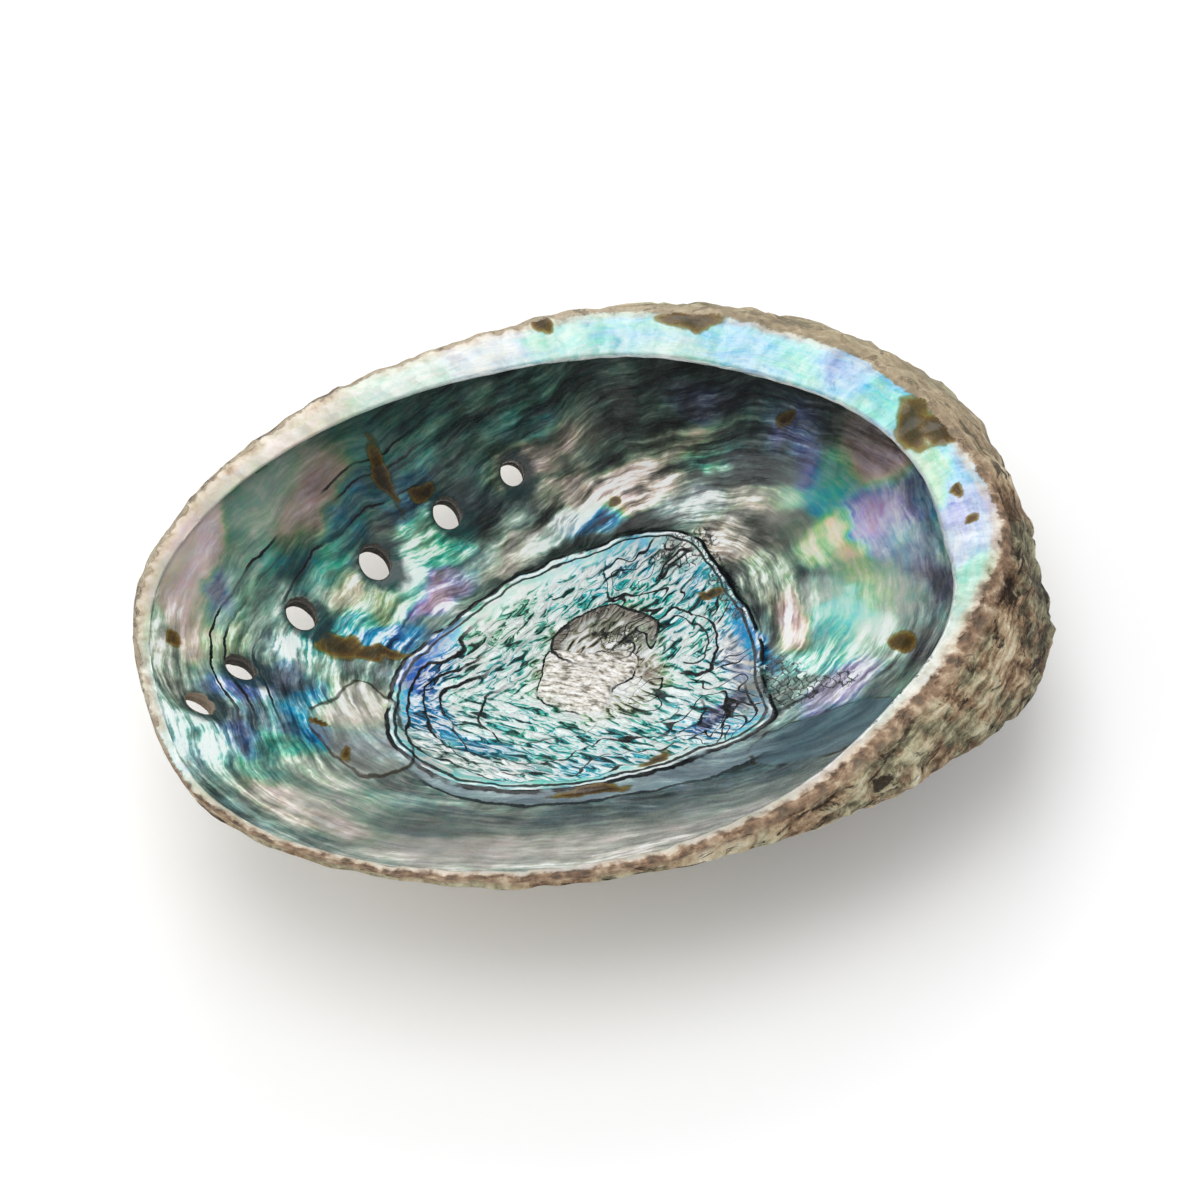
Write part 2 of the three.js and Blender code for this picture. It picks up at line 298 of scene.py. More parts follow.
# THE NACRE ROUND THE SCAR. Each season's layer laps over the last, so the hollow has low swells,
# growth lines along the wall, a pale tongue beside the scar and pearly lobes at the growing end.
TONGUE = np.array([
    (0, 6.5), (35, 7.5), (70, 10.0), (105, 7.0), (140, 6.5), (180, 8.5), (220, 9.5), (255, 14.0),
    (290, 13.0), (325, 8.5),
])
TONGUE_X, TONGUE_Y = -46.0, -7.5
tongue = island(TONGUE_X, TONGUE_Y, TONGUE, 1.2, 7, 71)
SLATE_X, SLATE_Y, SLATE_REACH = 27.0, -35.5, 9.5
SLATE_NARROWING, SLATE_FLATTENING, SLATE_RAG = 0.72, 1.5, 1.6
slate_away = np.hypot((x - SLATE_X) * SLATE_NARROWING, (y - SLATE_Y) * SLATE_FLATTENING)
slate = SLATE_REACH - slate_away + SLATE_RAG * rough(plan, 8, 75)
slate = np.where((inside > 0) & (from_lip > 1), slate, FAR_OUTSIDE)

SWELL, SWELL_SIZE, DENTS, DENT_SIZE = 0.55, 24, 0.22, 9
swell = SWELL * waves(plan, SWELL_SIZE, 81) + DENTS * rough(plan, DENT_SIZE, 82)
GROWTH_WANDER, GROWTH_WAVE, GROWTH_SHAKE, GROWTH_RIPPLE = 2.4, 22, 0.35, 6
grow_warp = GROWTH_WANDER * rough(plan, GROWTH_WAVE, 90) + GROWTH_SHAKE * rough(plan, GROWTH_RIPPLE, 91)
growth = from_edge + grow_warp
GROWTH_LIFT, GROWTH_SPACING, GROWTH_TURN = 0.12, 2.2, 3
growth_plan = np.stack([growth / GROWTH_SPACING, np.cos(angle)[:, None] * GROWTH_TURN + 0 * x], -1)
growth_steps = GROWTH_LIFT * waves(growth_plan, 1, 93)
LOBES = [(-62, -2, 5.5, 1.0), (-70, -11, 5.0, 0.9), (-58, -13, 5.5, 0.7), (-54, 6, 5.0, 0.8)]
lobes = sum(lift * bump(px, py, reach) for px, py, reach, lift in LOBES)
BLISTERS = [(51.4, 16.3, 1.6), (47.3, -22.0, 1.9), (-71.6, 6.6, 1.4)]
BLISTER_DEPTH, TONGUE_LIFT, SLATE_LIFT = 0.25, 0.3, 0.25
blisters = sum(bump(px, py, reach) for px, py, reach in BLISTERS)

# THE PORES. The animal breathed and let out water through a row of holes. The oldest ones toward
# the spire are sealed bumps on the outside, and six are open. Each has a dimple inside, painted
# dark with shade to one side, and a low raised rim outside.
PORES = [
    (-4.1, 35.4, 3.7), (-18.1, 30.6, 4.6), (-33.4, 24.0, 5.0), (-49.0, 15.4, 4.6),
    (-62.4, 4.0, 4.4), (-71.0, -5.0, 4.0),
]
SEALED_PORES = [
    (10.5, 40.5, 3.6), (24.0, 40.0, 3.3), (36.5, 36.0, 3.0), (46.5, 28.0, 2.7), (53.0, 18.0, 2.4),
    (55.5, 8.0, 2.1), (54.0, -1.5, 1.8), (50.0, -9.0, 1.5),
]
PORE_LEAN, PORE_FLARE = 0.55, 1.5
PORE_INSIDE, PORE_OUTSIDE, PORE_SIDES = 4.0, 7.0, 40
PIT_DEPTH, PIT_REACH = 1.0, 4.6
RIM_LIFT, RIM_WIDTH = 1.0, 1.3
SHADE_DRIFT = 1.0
PORE_SPAN, FAR_AWAY, UNDERSIDE = 12, 99.0, 26


def plan_section(px, py):
    """The section that faces a place of the plan, and the share of the way out to it."""
    heading = np.arctan2(py, px)
    turns = np.angle(np.exp(1j * (np.arctan2(facing[:, 1], facing[:, 0]) - heading)))
    section = int(np.argmin(np.abs(turns)))
    return section, np.hypot(px, py) / wall_radius[section, 0]


pore_axes = []
pits = np.zeros_like(x)
pore_rims = np.zeros_like(x)
pore_shade_reach = np.full_like(x, FAR_AWAY)
for px, py, bore in PORES:
    section, share = plan_section(px, py)
    r_in, z_in = (part[section, 0] for part in hollow(np.full((1, 1), share)))
    r_out, z_out = (part[section, 0] for part in back(np.full((1, 1), share)))
    square = np.array([*(facing[section] * (r_out - r_in)), z_out - z_in])
    wall_here = np.linalg.norm(square)
    axis = square / wall_here * (1 - PORE_LEAN) + np.array([0, 0, -PORE_LEAN])
    axis = axis / np.linalg.norm(axis)
    centre = np.array([px, py, z_in - WORN])
    pore_axes.append((centre, axis, bore))
    away = form - centre
    off_axis = np.linalg.norm(away - (away @ axis)[..., None] * axis, axis=-1)
    near = np.abs(away @ axis) < PORE_SPAN
    pits = pits + np.where(near, inside * PIT_DEPTH * ridge(off_axis, PIT_REACH), 0)
    pore_rim = ridge(off_axis - bore / 2 * PORE_FLARE, RIM_WIDTH)
    pore_rims = pore_rims + np.where(near, (1 - inside) * RIM_LIFT * pore_rim, 0)
    # Painted shade round each pore: distance from the pore shifted to one side, so the shade falls there.
    shade = np.hypot(x - px - SHADE_DRIFT, y - py + SHADE_DRIFT) - bore / 2
    pore_shade_reach = np.where(near, np.minimum(pore_shade_reach, shade), pore_shade_reach)
for px, py, reach in SEALED_PORES:
    pore_rims = pore_rims + (1 - inside) * RIM_LIFT * bump(px, py, reach) * (z < UNDERSIDE)

# THE BACK. The outside coils once or twice round a low spire near one end. Growth ridges follow
# the old edges, fine cords run from the spire to the growing end, and lime crust and wear have
# pitted it, most of all round the spire end.
SPIRE_X, SPIRE_Y = 38.5, -16.0
SUTURE_REACH, SUTURE_END, WHORL_GROWTH = 26.0, np.radians(312), 3.0
spire_radius = np.hypot(x - SPIRE_X, y - SPIRE_Y) + 0.3
spire_angle = np.arctan2(y - SPIRE_Y, x - SPIRE_X)
coil = np.log(spire_radius / SUTURE_REACH) / np.log(WHORL_GROWTH)
coil = coil - (spire_angle - SUTURE_END) / (2 * np.pi)
SPIRE_FOOT, SPIRE_FULL, APEX_REACH, SUTURE_DEPTH, APEX_LIFT = 31, 24, 7, 1.6, 0.5
suture = (1 - np.abs(np.sin(np.pi * coil))) ** 3 * smooth(spire_radius, SPIRE_FOOT, SPIRE_FULL)
apex = ridge(spire_radius, APEX_REACH)
edge_from_spire = np.hypot(crest_place[:, 0] - SPIRE_X, crest_place[:, 1] - SPIRE_Y)
edge_angle = np.degrees(np.arctan2(crest_place[:, 1] - SPIRE_Y, crest_place[:, 0] - SPIRE_X))
order = np.argsort(np.mod(edge_angle, 360))
reach_out = np.interp(
    np.mod(np.degrees(spire_angle), 360),
    np.mod(edge_angle, 360)[order],
    edge_from_spire[order],
    period=360,
)
age = spire_radius / reach_out
CRUST_MIDDLE, THIN_CRUST = 8, 0.25
crust_zone = smooth(np.cos(np.radians(around + CRUST_MIDDLE)), -0.15, 0.75) * smooth(from_edge, 0.3, -3)
thick_crust = THIN_CRUST + (1 - THIN_CRUST) * crust_zone
RIDGE_COUNT, RIDGE_WANDER, RIDGE_WAVE, RIDGE_DEPTH = 21, 0.55, 16, 0.32
ridge_phase = age * RIDGE_COUNT + RIDGE_WANDER * rough(form, RIDGE_WAVE, 101)
ridges = np.abs(np.mod(ridge_phase, 1) * 2 - 1) ** 1.5
CORD_COUNT, CORD_CURL, CORD_WANDER, CORD_WAVE, CORD_DEPTH = 46, 0.9, 1.4, 12, 0.10
cord_turn = (spire_angle - CORD_CURL * np.log(spire_radius)) * CORD_COUNT
cords = np.cos(cord_turn + CORD_WANDER * waves(form, CORD_WAVE, 103))
LUMP_SIZE, LUMP_DEPTH = 11, 0.5
lumps = rough(form, LUMP_SIZE, 105)
LAYER_TURN, LAYER_SHIFT, LAYER_WAVE = 21.0, 1.2, 9
FLAKE_SIZE, FLAKE_DEPTH, FLAKE_LEVEL = 3.0, 1.35, 0.45
turned = [LAYER_TURN * part(angle)[:, None] + 0 * x for part in (np.cos, np.sin)]
layered = np.stack([*turned, from_edge], -1)
layered = layered + LAYER_SHIFT * np.stack([waves(form, LAYER_WAVE, seed) for seed in (106, 107, 108)], -1)
flakes = np.abs(rough(layered, FLAKE_SIZE, 109, 4))
crumbled = LUMP_DEPTH * (1 - lumps) + FLAKE_DEPTH * (FLAKE_LEVEL - flakes)
eroded = RIDGE_DEPTH * ridges + CORD_DEPTH * (1 + cords) + thick_crust * crumbled
eroded = eroded + SUTURE_DEPTH * suture - APEX_LIFT * apex
MOST_GAIN, MOST_LOSS, BACK_BLEND = 0.6, 3.0, 2.5
back_lift = -np.clip(eroded, -MOST_GAIN, MOST_LOSS) * smooth(from_edge, 0.0, -BACK_BLEND) + pore_rims

# Wavy growth breaks the thin edge into low scallops, and lime crust crumbles the thick edge.
EDGE_REACH, EDGE_WEAR, SCALLOP_DEPTH, CRUMBLE, CRUMB_SIZE, DEEPEST_DIP = 2.2, 0.6, 0.96, 0.5, 3.4, 2.2
SCALLOP_TURN, SCALLOP_SIZE = 13.2, 2.2
edge_zone = ridge(from_edge, EDGE_REACH)
scallops = rough(SCALLOP_TURN * np.stack([np.cos(angle), np.sin(angle)], -1), SCALLOP_SIZE, 111)[:, None]
edge_dip = edge_zone * (EDGE_WEAR + SCALLOP_DEPTH * scallops + CRUMBLE * rough(form, CRUMB_SIZE, 113))
SHELF_WAVINESS, SHELF_WAVE, COMB_LIFT, COMB_COUNT, COMB_WANDER, COMB_WAVE = 0.22, 6, 0.10, 70, 3, 9
comb = np.sin(np.radians(around) * COMB_COUNT + COMB_WANDER * waves(form, COMB_WAVE, 116))
shelf_zone = smooth(from_lip, 0.8, -0.8) * inside
shelf_ripple = shelf_zone * (SHELF_WAVINESS * rough(form, SHELF_WAVE, 115) + COMB_LIFT * comb)

in_hollow = inside * smooth(from_lip, -0.5, 3.0)
pole_blend = smooth(np.hypot(x, y), 0, 1.5)
laps = TONGUE_LIFT * smooth(tongue, -0.3, 0.3) + SLATE_LIFT * smooth(slate, -0.3, 0.3)
hollow_lift = scar_lift + swell + growth_steps + lobes + laps - BLISTER_DEPTH * blisters
hollow_lift = in_hollow * hollow_lift * pole_blend - pits

# Every point moves square to the surface, by what grew on it or wore off it.
next_angle = np.roll(form, -1, axis=0) - np.roll(form, 1, axis=0)
next_ring = np.gradient(form, axis=1)
out = np.cross(next_ring, next_angle)
out = out / np.linalg.norm(out, axis=-1, keepdims=True)
skin = form + out * (hollow_lift + shelf_ripple + back_lift)[..., None]
skin[..., 2] = skin[..., 2] - np.clip(edge_dip, 0, DEEPEST_DIP)
low = np.array([*shell_low]) / MM
high = np.array([*shell_high]) / MM
skin = np.clip(skin, low, high)

heart_point = np.array([[0, 0, FLOOR - WORN + float(hollow_lift[:, 0].mean())]])
worn_point = np.array([[0, 0, 0.0]])
points = np.concatenate([skin.reshape(-1, 3), heart_point, worn_point]) * MM
here = (np.arange(ANGLES) * rings)[:, None]
beyond = (np.roll(np.arange(ANGLES), -1) * rings)[:, None]
quads = np.stack([here + ring[:, :-1], here + ring[:, 1:], beyond + ring[:, 1:], beyond + ring[:, :-1]], -1)
top_fan = np.stack([np.full(ANGLES, ANGLES * rings), here[:, 0], beyond[:, 0]], -1)
last = rings - 1
under_fan = np.stack([np.full(ANGLES, ANGLES * rings + 1), beyond[:, 0] + last, here[:, 0] + last], -1)
shell_mesh = bpy.data.meshes.new("abalone_shell_grown")
shell_mesh.from_pydata(
    points.tolist(), [], quads.reshape(-1, 4).tolist() + top_fan.tolist() + under_fan.tolist()
)
shell = bpy.data.objects.new("abalone_shell_grown", shell_mesh)
bpy.context.scene.collection.objects.link(shell)

# Each pore is bored through the wall by a cone that opens toward the back.
bits = []
for centre, axis, bore in pore_axes:
    bpy.ops.mesh.primitive_cone_add(
        vertices=PORE_SIDES,
        radius1=bore / 2 * MM,
        radius2=bore / 2 * PORE_FLARE * MM,
        depth=(PORE_INSIDE + PORE_OUTSIDE) * MM,
    )
    bit = bpy.context.object
    bit.rotation_mode = "QUATERNION"
    bit.rotation_quaternion = Vector(axis).to_track_quat("Z", "Y")
    bit.location = Vector(centre + axis * (PORE_OUTSIDE - PORE_INSIDE) / 2) * MM
    bits.append(bit)


# THE PEARL'S COLOURS. Nacre has no dye: its colour comes from how thick its layers are, and it
# turns from pink through violet, blue, sea green and gold as they thicken. film is that thickness,
# light is how bright the pearl is painted, and veil is how milky it is. light is partly the pearl's
# own tone and partly painted shade and painted highlight: it is low on the far wall for the shade
# under the overhanging lip, and high at the scar's top right for glints. Each patch is (x, y,
# reach along, reach across, heading in degrees, film, light, veil).
# Painted shade: the far wall's patches are dark for the shade it lies in under the overhanging lip.
FAR_WALL = [
    (-11, 42, 14, 4, 5, 0.55, 0.26, 0.45), (21, 37, 15, 5, -12, 0.58, 0.20, 0.6),
    (40, 30, 10, 5, -35, 0.5, 0.20, 0.6), (-28, 40, 9, 4, 25, 0.56, 0.32, 0.35),
    (3, 41, 6, 2.5, 10, 0.52, 0.34, 0.2), (-20, 39, 6, 2, 20, 0.58, 0.42, 0.25),
    (28, 33, 9, 2, -12, 0.92, 0.42, 0.65), (-46, 36, 9, 4, 35, 0.6, 0.46, 0.8),
    (10, 38, 5, 1.8, 5, 0.95, 0.4, 0.75), (33, 36, 6, 2, -25, 0.1, 0.34, 0.5),
    (46, 27, 4, 3, -40, 0.12, 0.5, 0.3), (-3, 36, 6, 1.6, 8, 0.9, 0.4, 0.75),
]
PORE_SIDE = [
    (-36, 30, 5, 2.5, 40, 0.46, 0.36, 0.3), (-41, 24, 4, 2.5, 50, 0.57, 0.5, 0.25),
    (-40, 19, 3, 2, 40, 0.8, 0.85, 0.7), (-47, 24, 3.5, 3, 50, 0.5, 0.2, 0.3),
    (-52, 23, 3, 1.5, 55, 0.58, 0.5, 0.2), (-58, 18, 6, 3, 60, 0.62, 0.56, 0.6),
    (-44, 31, 6, 2.4, 45, 0.96, 0.46, 0.8), (-51, 30, 6, 2, 50, 0.7, 0.6, 0.8),
    (-62, 24, 7, 2, 55, 0.97, 0.66, 0.85), (-64, 10, 4, 3, 75, 0.74, 0.62, 0.6),
    (-69, 9, 5, 2, 75, 0.92, 0.7, 0.85), (-38, 35, 5, 2, 35, 0.97, 0.4, 0.75),
    (-62, 16, 4, 2, 65, 0.2, 0.45, 0.6), (-56, 26, 6, 2, 50, 0.62, 0.4, 0.5),
    (-66, 20, 9, 2.4, 60, 0.95, 0.66, 0.85), (-74, 3, 7, 2.5, 85, 0.7, 0.66, 0.85),
    (-12, 34, 5, 3, 20, 0.5, 0.22, 0.5), (-25, 33, 4, 2.5, 30, 0.42, 0.3, 0.3),
    (-24, 28, 3.5, 2.5, 30, 0.62, 0.85, 0.45), (-29, 21.5, 4, 2.5, 25, 0.55, 0.95, 0.4),
    (-20, 26, 4, 2.4, 25, 0.61, 0.88, 0.2), (-31, 17, 3, 2, 20, 0.64, 0.85, 0.35),
    (-35, 16, 3, 1.6, 30, 0.84, 0.85, 0.6), (-41, 14, 3.5, 2, 10, 0.53, 0.92, 0.15),
    (-35, 10.5, 5, 1.8, 5, 0.37, 0.8, 0.05), (-49, 10, 4, 2.5, 30, 0.52, 0.78, 0.2),
    (-53, 8, 2.5, 1.8, 30, 0.5, 1.0, 0.85), (-53, -2, 4, 2.5, 20, 0.42, 0.55, 0.15),
    (-57, 2, 3.5, 2, 30, 0.36, 0.42, 0.55), (-64, -1, 3.5, 2.5, 10, 0.29, 0.85, 0.3),
    (-69, -6, 3, 2.5, 40, 0.6, 0.6, 0.7), (-61, -8, 4, 2, -10, 0.45, 0.4, 0.5),
    (-72, -13, 4.5, 3.5, 30, 0.52, 0.98, 0.55), (-67, -12, 2.5, 3, 20, 0.25, 0.45, 0.4),
    (-61, -14, 4.5, 2.5, -5, 0.56, 0.5, 0.25), (-55.5, -9, 2.5, 4, 20, 0.34, 0.5, 0.05),
    (-65, -19, 5, 2.5, -20, 0.56, 0.62, 0.45),
]
TONGUE_SIDE = [
    (-46, -4, 5, 4, 30, 0.84, 0.78, 0.95), (-45, -13, 5, 4, -40, 0.46, 0.56, 0.7),
    (-47, -21, 6, 3, -35, 0.55, 0.42, 0.85), (-57, -20, 5, 3, -20, 0.7, 0.66, 0.9),
]
TOP_OF_FLOOR = [
    (1, 25, 6, 1.6, 20, 0.5, 1.0, 0.85), (-8, 23, 6, 2, 22, 0.8, 0.62, 0.95),
    (-16, 21.5, 5, 1.6, 25, 0.55, 0.75, 0.7), (-22, 18.5, 4, 2, 25, 0.03, 1.0, 0.65),
    (-26, 16.5, 3.5, 1.6, 20, 0.02, 1.0, 0.6), (8.5, 25.5, 4, 1.8, 12, 0.34, 0.62, 0.0),
    (12.5, 26.5, 2, 1.2, 0, 0.88, 0.75, 0.2), (15, 30, 8, 1.8, 5, 0.95, 0.75, 0.85),
    (4, 32, 5, 1.6, 15, 0.9, 0.6, 0.8), (-2, 30, 5, 1.4, 20, 0.55, 0.35, 0.7),
    (18, 27, 6, 1.6, 0, 0.93, 0.92, 0.8), (27, 22, 5, 2.5, -20, 0.5, 0.8, 0.9),
    (36, 19, 4, 2.2, -30, 0.85, 0.66, 0.85), (33, 29, 4.5, 1.8, -12, 0.6, 0.78, 0.1),
    (41, 24, 5, 3, -30, 0.5, 0.26, 0.75), (34, 14, 5, 4, -45, 0.8, 0.36, 0.9),
]
SPIRE_SIDE = [
    (25.5, -11.0, 1.3, 4.5, 12, 0.37, 0.66, 0.0), (56, -1, 3, 3, 0, 0.95, 0.8, 0.6),
    (47.5, 20.5, 2.4, 3.4, -30, 0.15, 0.58, 0.25), (44, 25, 1.3, 2.6, -20, 0.02, 0.5, 0.3),
    (51, 16.5, 4, 3.2, -50, 0.57, 0.5, 0.1), (47, 13, 3.5, 2.5, -40, 0.5, 0.58, 0.1),
    (51, 12, 3, 2.5, -40, 0.58, 0.5, 0.1), (40, 17, 4, 2, -30, 0.7, 0.86, 0.55),
    (57, 12, 4.5, 4, -60, 0.98, 0.5, 0.65), (58, 17, 5, 3, -60, 0.95, 0.26, 0.7),
    (57, 2, 6, 5, -70, 0.03, 0.74, 0.6), (53, 8, 4, 3, -50, 0.04, 0.68, 0.55),
    (47, 6, 3.2, 3, -30, 0.87, 0.84, 0.3), (43, 4.5, 3.5, 3, -30, 0.75, 0.82, 0.4),
    (40, 9.5, 2.5, 2, -30, 0.7, 0.38, 0.7), (49, 0.5, 2.6, 2.2, 0, 0.9, 0.72, 0.5),
    (53.5, 1.5, 4.5, 3.5, -60, 0.14, 0.84, 0.45), (61, -2, 2.5, 6, 0, 0.58, 0.52, 0.35),
    (57, -6, 3.5, 4, 0, 0.4, 0.62, 0.65), (46.5, -3.5, 3.2, 2.5, 0, 0.72, 0.6, 0.55),
    (51, -12, 3, 5, 10, 0.6, 0.64, 0.85), (56, -13, 2.2, 5, 10, 0.25, 0.42, 0.75),
    (47, -9.5, 2.5, 3.5, 0, 0.76, 0.72, 0.5), (42, -11, 4.5, 4, -20, 0.56, 0.88, 0.25),
    (38, -14, 3, 3.5, -20, 0.53, 0.74, 0.35), (38.5, -5, 3, 3, 0, 0.6, 0.68, 0.85),
    (33, -7, 2.5, 5, -10, 0.97, 0.84, 0.7), (34, -17.5, 4.5, 2.5, -20, 0.56, 0.88, 0.25),
    (44, -20, 3.5, 4, 0, 0.66, 0.9, 0.75), (35, -25.5, 6, 2.5, 25, 0.1, 0.74, 0.75),
    (50, -26, 2.5, 4.5, 25, 0.5, 0.32, 0.9), (40, -30, 6, 2, 35, 0.55, 0.44, 0.8),
    (33, 3, 3, 5, 0, 0.74, 0.88, 0.75), (29, 14, 3, 4, 0, 0.9, 0.9, 0.9),
]
FRONT_WALL = [
    (27, -35.5, 9, 4.5, 22, 0.47, 0.42, 0.3), (14, -40, 10, 4, 5, 0.46, 0.44, 0.4),
    (-5, -41, 14, 3, 0, 0.47, 0.5, 0.4), (-18, -41, 8, 2.4, -8, 0.44, 0.4, 0.35),
    (0, -46.5, 16, 2.5, 4, 0.55, 0.58, 0.75), (9, -52, 14, 3, 12, 0.88, 0.76, 0.95),
    (-18, -53, 14, 4, -6, 0.86, 0.78, 0.95), (-44, -36, 9, 3, -28, 0.56, 0.44, 0.8),
    (-31, -37, 8, 2.6, -14, 0.54, 0.5, 0.8), (-36, -48, 13, 4, -22, 0.9, 0.78, 0.93),
    (-60, -29, 8, 4, -45, 0.9, 0.8, 0.95), (-53, -29, 6, 2.4, -40, 0.62, 0.62, 0.88),
    (32, -46, 12, 3, 32, 0.75, 0.8, 0.95), (20, -46, 9, 3, 20, 0.5, 0.5, 0.7),
]
IN_THE_SCAR = [
    (-3, -6, 8, 6.5, 10, 0.85, 0.97, 0.97), (2, 3.5, 7, 3.6, -10, 0.8, 0.5, 0.85),
    (7, -8, 2.2, 3.4, 30, 0.85, 0.4, 0.9), (-12, 12, 5, 3, 25, 0.62, 1.0, 0.6),
    (-20, 8, 5, 3, 30, 0.62, 0.95, 0.65), (-27, 7, 4, 3, 45, 0.33, 0.85, 0.25),
    (-33, 2, 2.5, 4, 10, 0.27, 0.72, 0.2), (-34, -8, 4, 4, 30, 0.38, 0.78, 0.1),
    (-30, -15, 6, 2.2, -35, 0.4, 0.62, 0.1), (-24, -19, 6, 2, -20, 0.45, 0.5, 0.1),
    (-36, -14, 2.5, 6, 20, 0.5, 0.66, 0.85), (-27, -23, 9, 2.5, -20, 0.5, 0.7, 0.8),
    (-25, -6, 5, 5, 0, 0.52, 0.85, 0.55), (-18, -12, 8, 5, -5, 0.52, 0.9, 0.35),
    (-8, -21, 12, 3, 0, 0.5, 0.9, 0.2), (-12, -28, 9, 2, -5, 0.47, 0.8, 0.25),
    (6, -20, 7, 3, 10, 0.49, 0.85, 0.2), (12, -12, 5, 4, 0, 0.5, 0.95, 0.4),
    (16, -5, 4, 4, 0, 0.5, 0.97, 0.4), (14, 4, 5, 3, -20, 0.5, 0.85, 0.1),
    (6, 10, 8, 2, 8, 0.49, 0.92, 0.2), (-2, 14, 8, 2.4, 15, 0.52, 1.0, 0.45),
    # Painted highlight: the patch at (12, 17) is made light and milky for the glints at the scar's top
    # right.
    (12, 17, 7, 2.2, 10, 0.45, 0.8, 0.55), (20, 14, 4, 3, 30, 0.5, 0.85, 0.85),
    (21, 6, 3, 3, 0, 0.45, 0.75, 0.3), (25.5, -9, 1.6, 6, 8, 0.37, 0.72, 0.0),
    (21, -12, 2.6, 5, 0, 0.3, 0.72, 0.9), (22, -21, 5, 3, 10, 0.5, 0.42, 0.9),
    (17, -24, 6, 2.2, 15, 0.42, 0.8, 0.35), (14, -21, 5, 1.4, 20, 0.2, 0.3, 0.4),
    (2, -31, 8, 1.8, 5, 0.5, 0.95, 0.8),
]
ON_THE_SHELF = [
    (-66, 20, 12, 6, 60, 0.9, 0.68, 0.93), (-45, 37, 14, 6, 30, 0.86, 0.82, 0.92),
    (-20, 44, 8, 5, 10, 0.6, 0.97, 0.9), (-6, 46, 6, 4, 0, 0.3, 0.98, 0.97),
    (8, 45, 6, 4, -5, 0.53, 0.96, 0.5), (20, 42, 6, 4, -12, 0.5, 0.98, 0.45),
    (38, 33, 6, 5, -30, 0.48, 0.93, 0.35), (47, 26, 5, 5, -40, 0.46, 0.95, 0.35),
    (53, 19, 4, 5, -50, 0.42, 0.92, 0.4), (51, 21, 1.2, 4, -20, 0.3, 0.8, 0.4),
    (57, 10, 5, 4, -55, 0.5, 0.85, 0.3), (57, -6, 2.2, 5, 0, 0.7, 0.97, 0.6),
    (63, -7, 3.5, 5, 0, 0.42, 0.88, 0.25), (60, -16, 5, 3.5, 0, 0.27, 0.95, 0.5),
    (58, -22, 6, 3, 0, 0.33, 0.93, 0.7), (54, -30, 6, 4, 30, 0.6, 0.86, 0.55),
    (52, -38, 6, 4, 50, 0.66, 0.84, 0.85), (42, -47, 10, 4, 35, 0.85, 0.84, 0.95),
    (0, -58, 40, 5, 3, 0.82, 0.70, 0.95), (-50, -45, 30, 5, -30, 0.85, 0.72, 0.95),
]
HOLLOW_PATCHES = FAR_WALL + PORE_SIDE + TONGUE_SIDE + TOP_OF_FLOOR + SPIRE_SIDE + FRONT_WALL
PATCH_SHARPNESS, BASE_WEIGHT = 1.35, 0.06
PATCH_WANDER, PATCH_WAVE, PATCH_RAG, RAG_SIZE = 1.5, 8, 0.5, 2.2


def patch_shift(seed):
    """How far the patches' outlines wander from plain ovals, in millimetres."""
    return PATCH_WANDER * rough(plan, PATCH_WAVE, seed) + PATCH_RAG * rough(plan, RAG_SIZE, seed + 2)


patch_x, patch_y = x + patch_shift(201), y + patch_shift(205)


def off_centre(px, py, reach_along, reach_across, heading):
    """Square of the distance from an oval's middle, as a share of its reach, 1 on its outline."""
    heading = np.radians(heading)
    dx, dy = patch_x - px, patch_y - py
    along = (dx * np.cos(heading) + dy * np.sin(heading)) / reach_along
    across = (dy * np.cos(heading) - dx * np.sin(heading)) / reach_across
    return along**2 + across**2


def lay_patches(patches, base):
    """Film, light and veil over the surface, each place taking after the patches nearest to it."""
    total = BASE_WEIGHT
    values = [BASE_WEIGHT * value for value in base]
    for *oval_at, film_here, light_here, veil_here in patches:
        wanted = (film_here, light_here, veil_here)
        weight = np.exp(-(off_centre(*oval_at) ** PATCH_SHARPNESS))
        total = total + weight
        values = [value + weight * want for value, want in zip(values, wanted)]
    return [value / total for value in values]


# Painted shade: the hollow's wall is darker round the far side, which lies under the overhanging lip.
WALL_LIGHT, WALL_SHADE, SHADE_MIDDLE = 0.55, 0.38, 65
wall_light = WALL_LIGHT - WALL_SHADE * smooth(np.cos(np.radians(around - SHADE_MIDDLE)), 0.1, 0.8)
hollow_pearl = lay_patches(HOLLOW_PATCHES, (0.55, wall_light, 0.7))
scar_pearl = lay_patches(IN_THE_SCAR, (0.5, 0.85, 0.4))
shelf_pearl = lay_patches(ON_THE_SHELF, (0.5, 0.9, 0.8))
on_scar = smooth(scar, -0.2, 0.4)
on_shelf = smooth(from_lip, 0.5, -0.3)
film, light, veil = (
    (hollow_part * (1 - on_scar) + scar_part * on_scar) * (1 - on_shelf) + shelf_part * on_shelf
    for hollow_part, scar_part, shelf_part in zip(hollow_pearl, scar_pearl, shelf_pearl)
)
# Painted shade under the lip: from 2 to 16 mm below it, where it overhangs, the pearl is darkened. The front
# wall below the rim is made darker, the spire side lighter and the shelf a little darker.
under_lip_shade_zone = smooth(from_lip, 0.0, 2.0) * smooth(from_lip, 16.0, 2.0) * smooth(undercut, 0.5, 5.0)
front_side = smooth(y, -22, -38) * smooth(scar, 0.5, -0.5) * (1 - on_shelf) * smooth(from_edge, 5, 12)
spire_side = smooth(x, 30, 45) * (1 - on_shelf)
LIFT_ALL, OVERHANG_SHADE, FRONT_SHADE, SPIRE_LIFT, SHELF_SHADE, MOST_LIGHT = 1.16, 0.6, 0.24, 0.1, 0.05, 1.2
light = light * (LIFT_ALL - OVERHANG_SHADE * under_lip_shade_zone)
light = light * (1 - FRONT_SHADE * front_side) * (1 + SPIRE_LIFT * spire_side) * (1 - SHELF_SHADE * on_shelf)
light = np.minimum(light, MOST_LIGHT - (MOST_LIGHT - 1) * on_shelf)

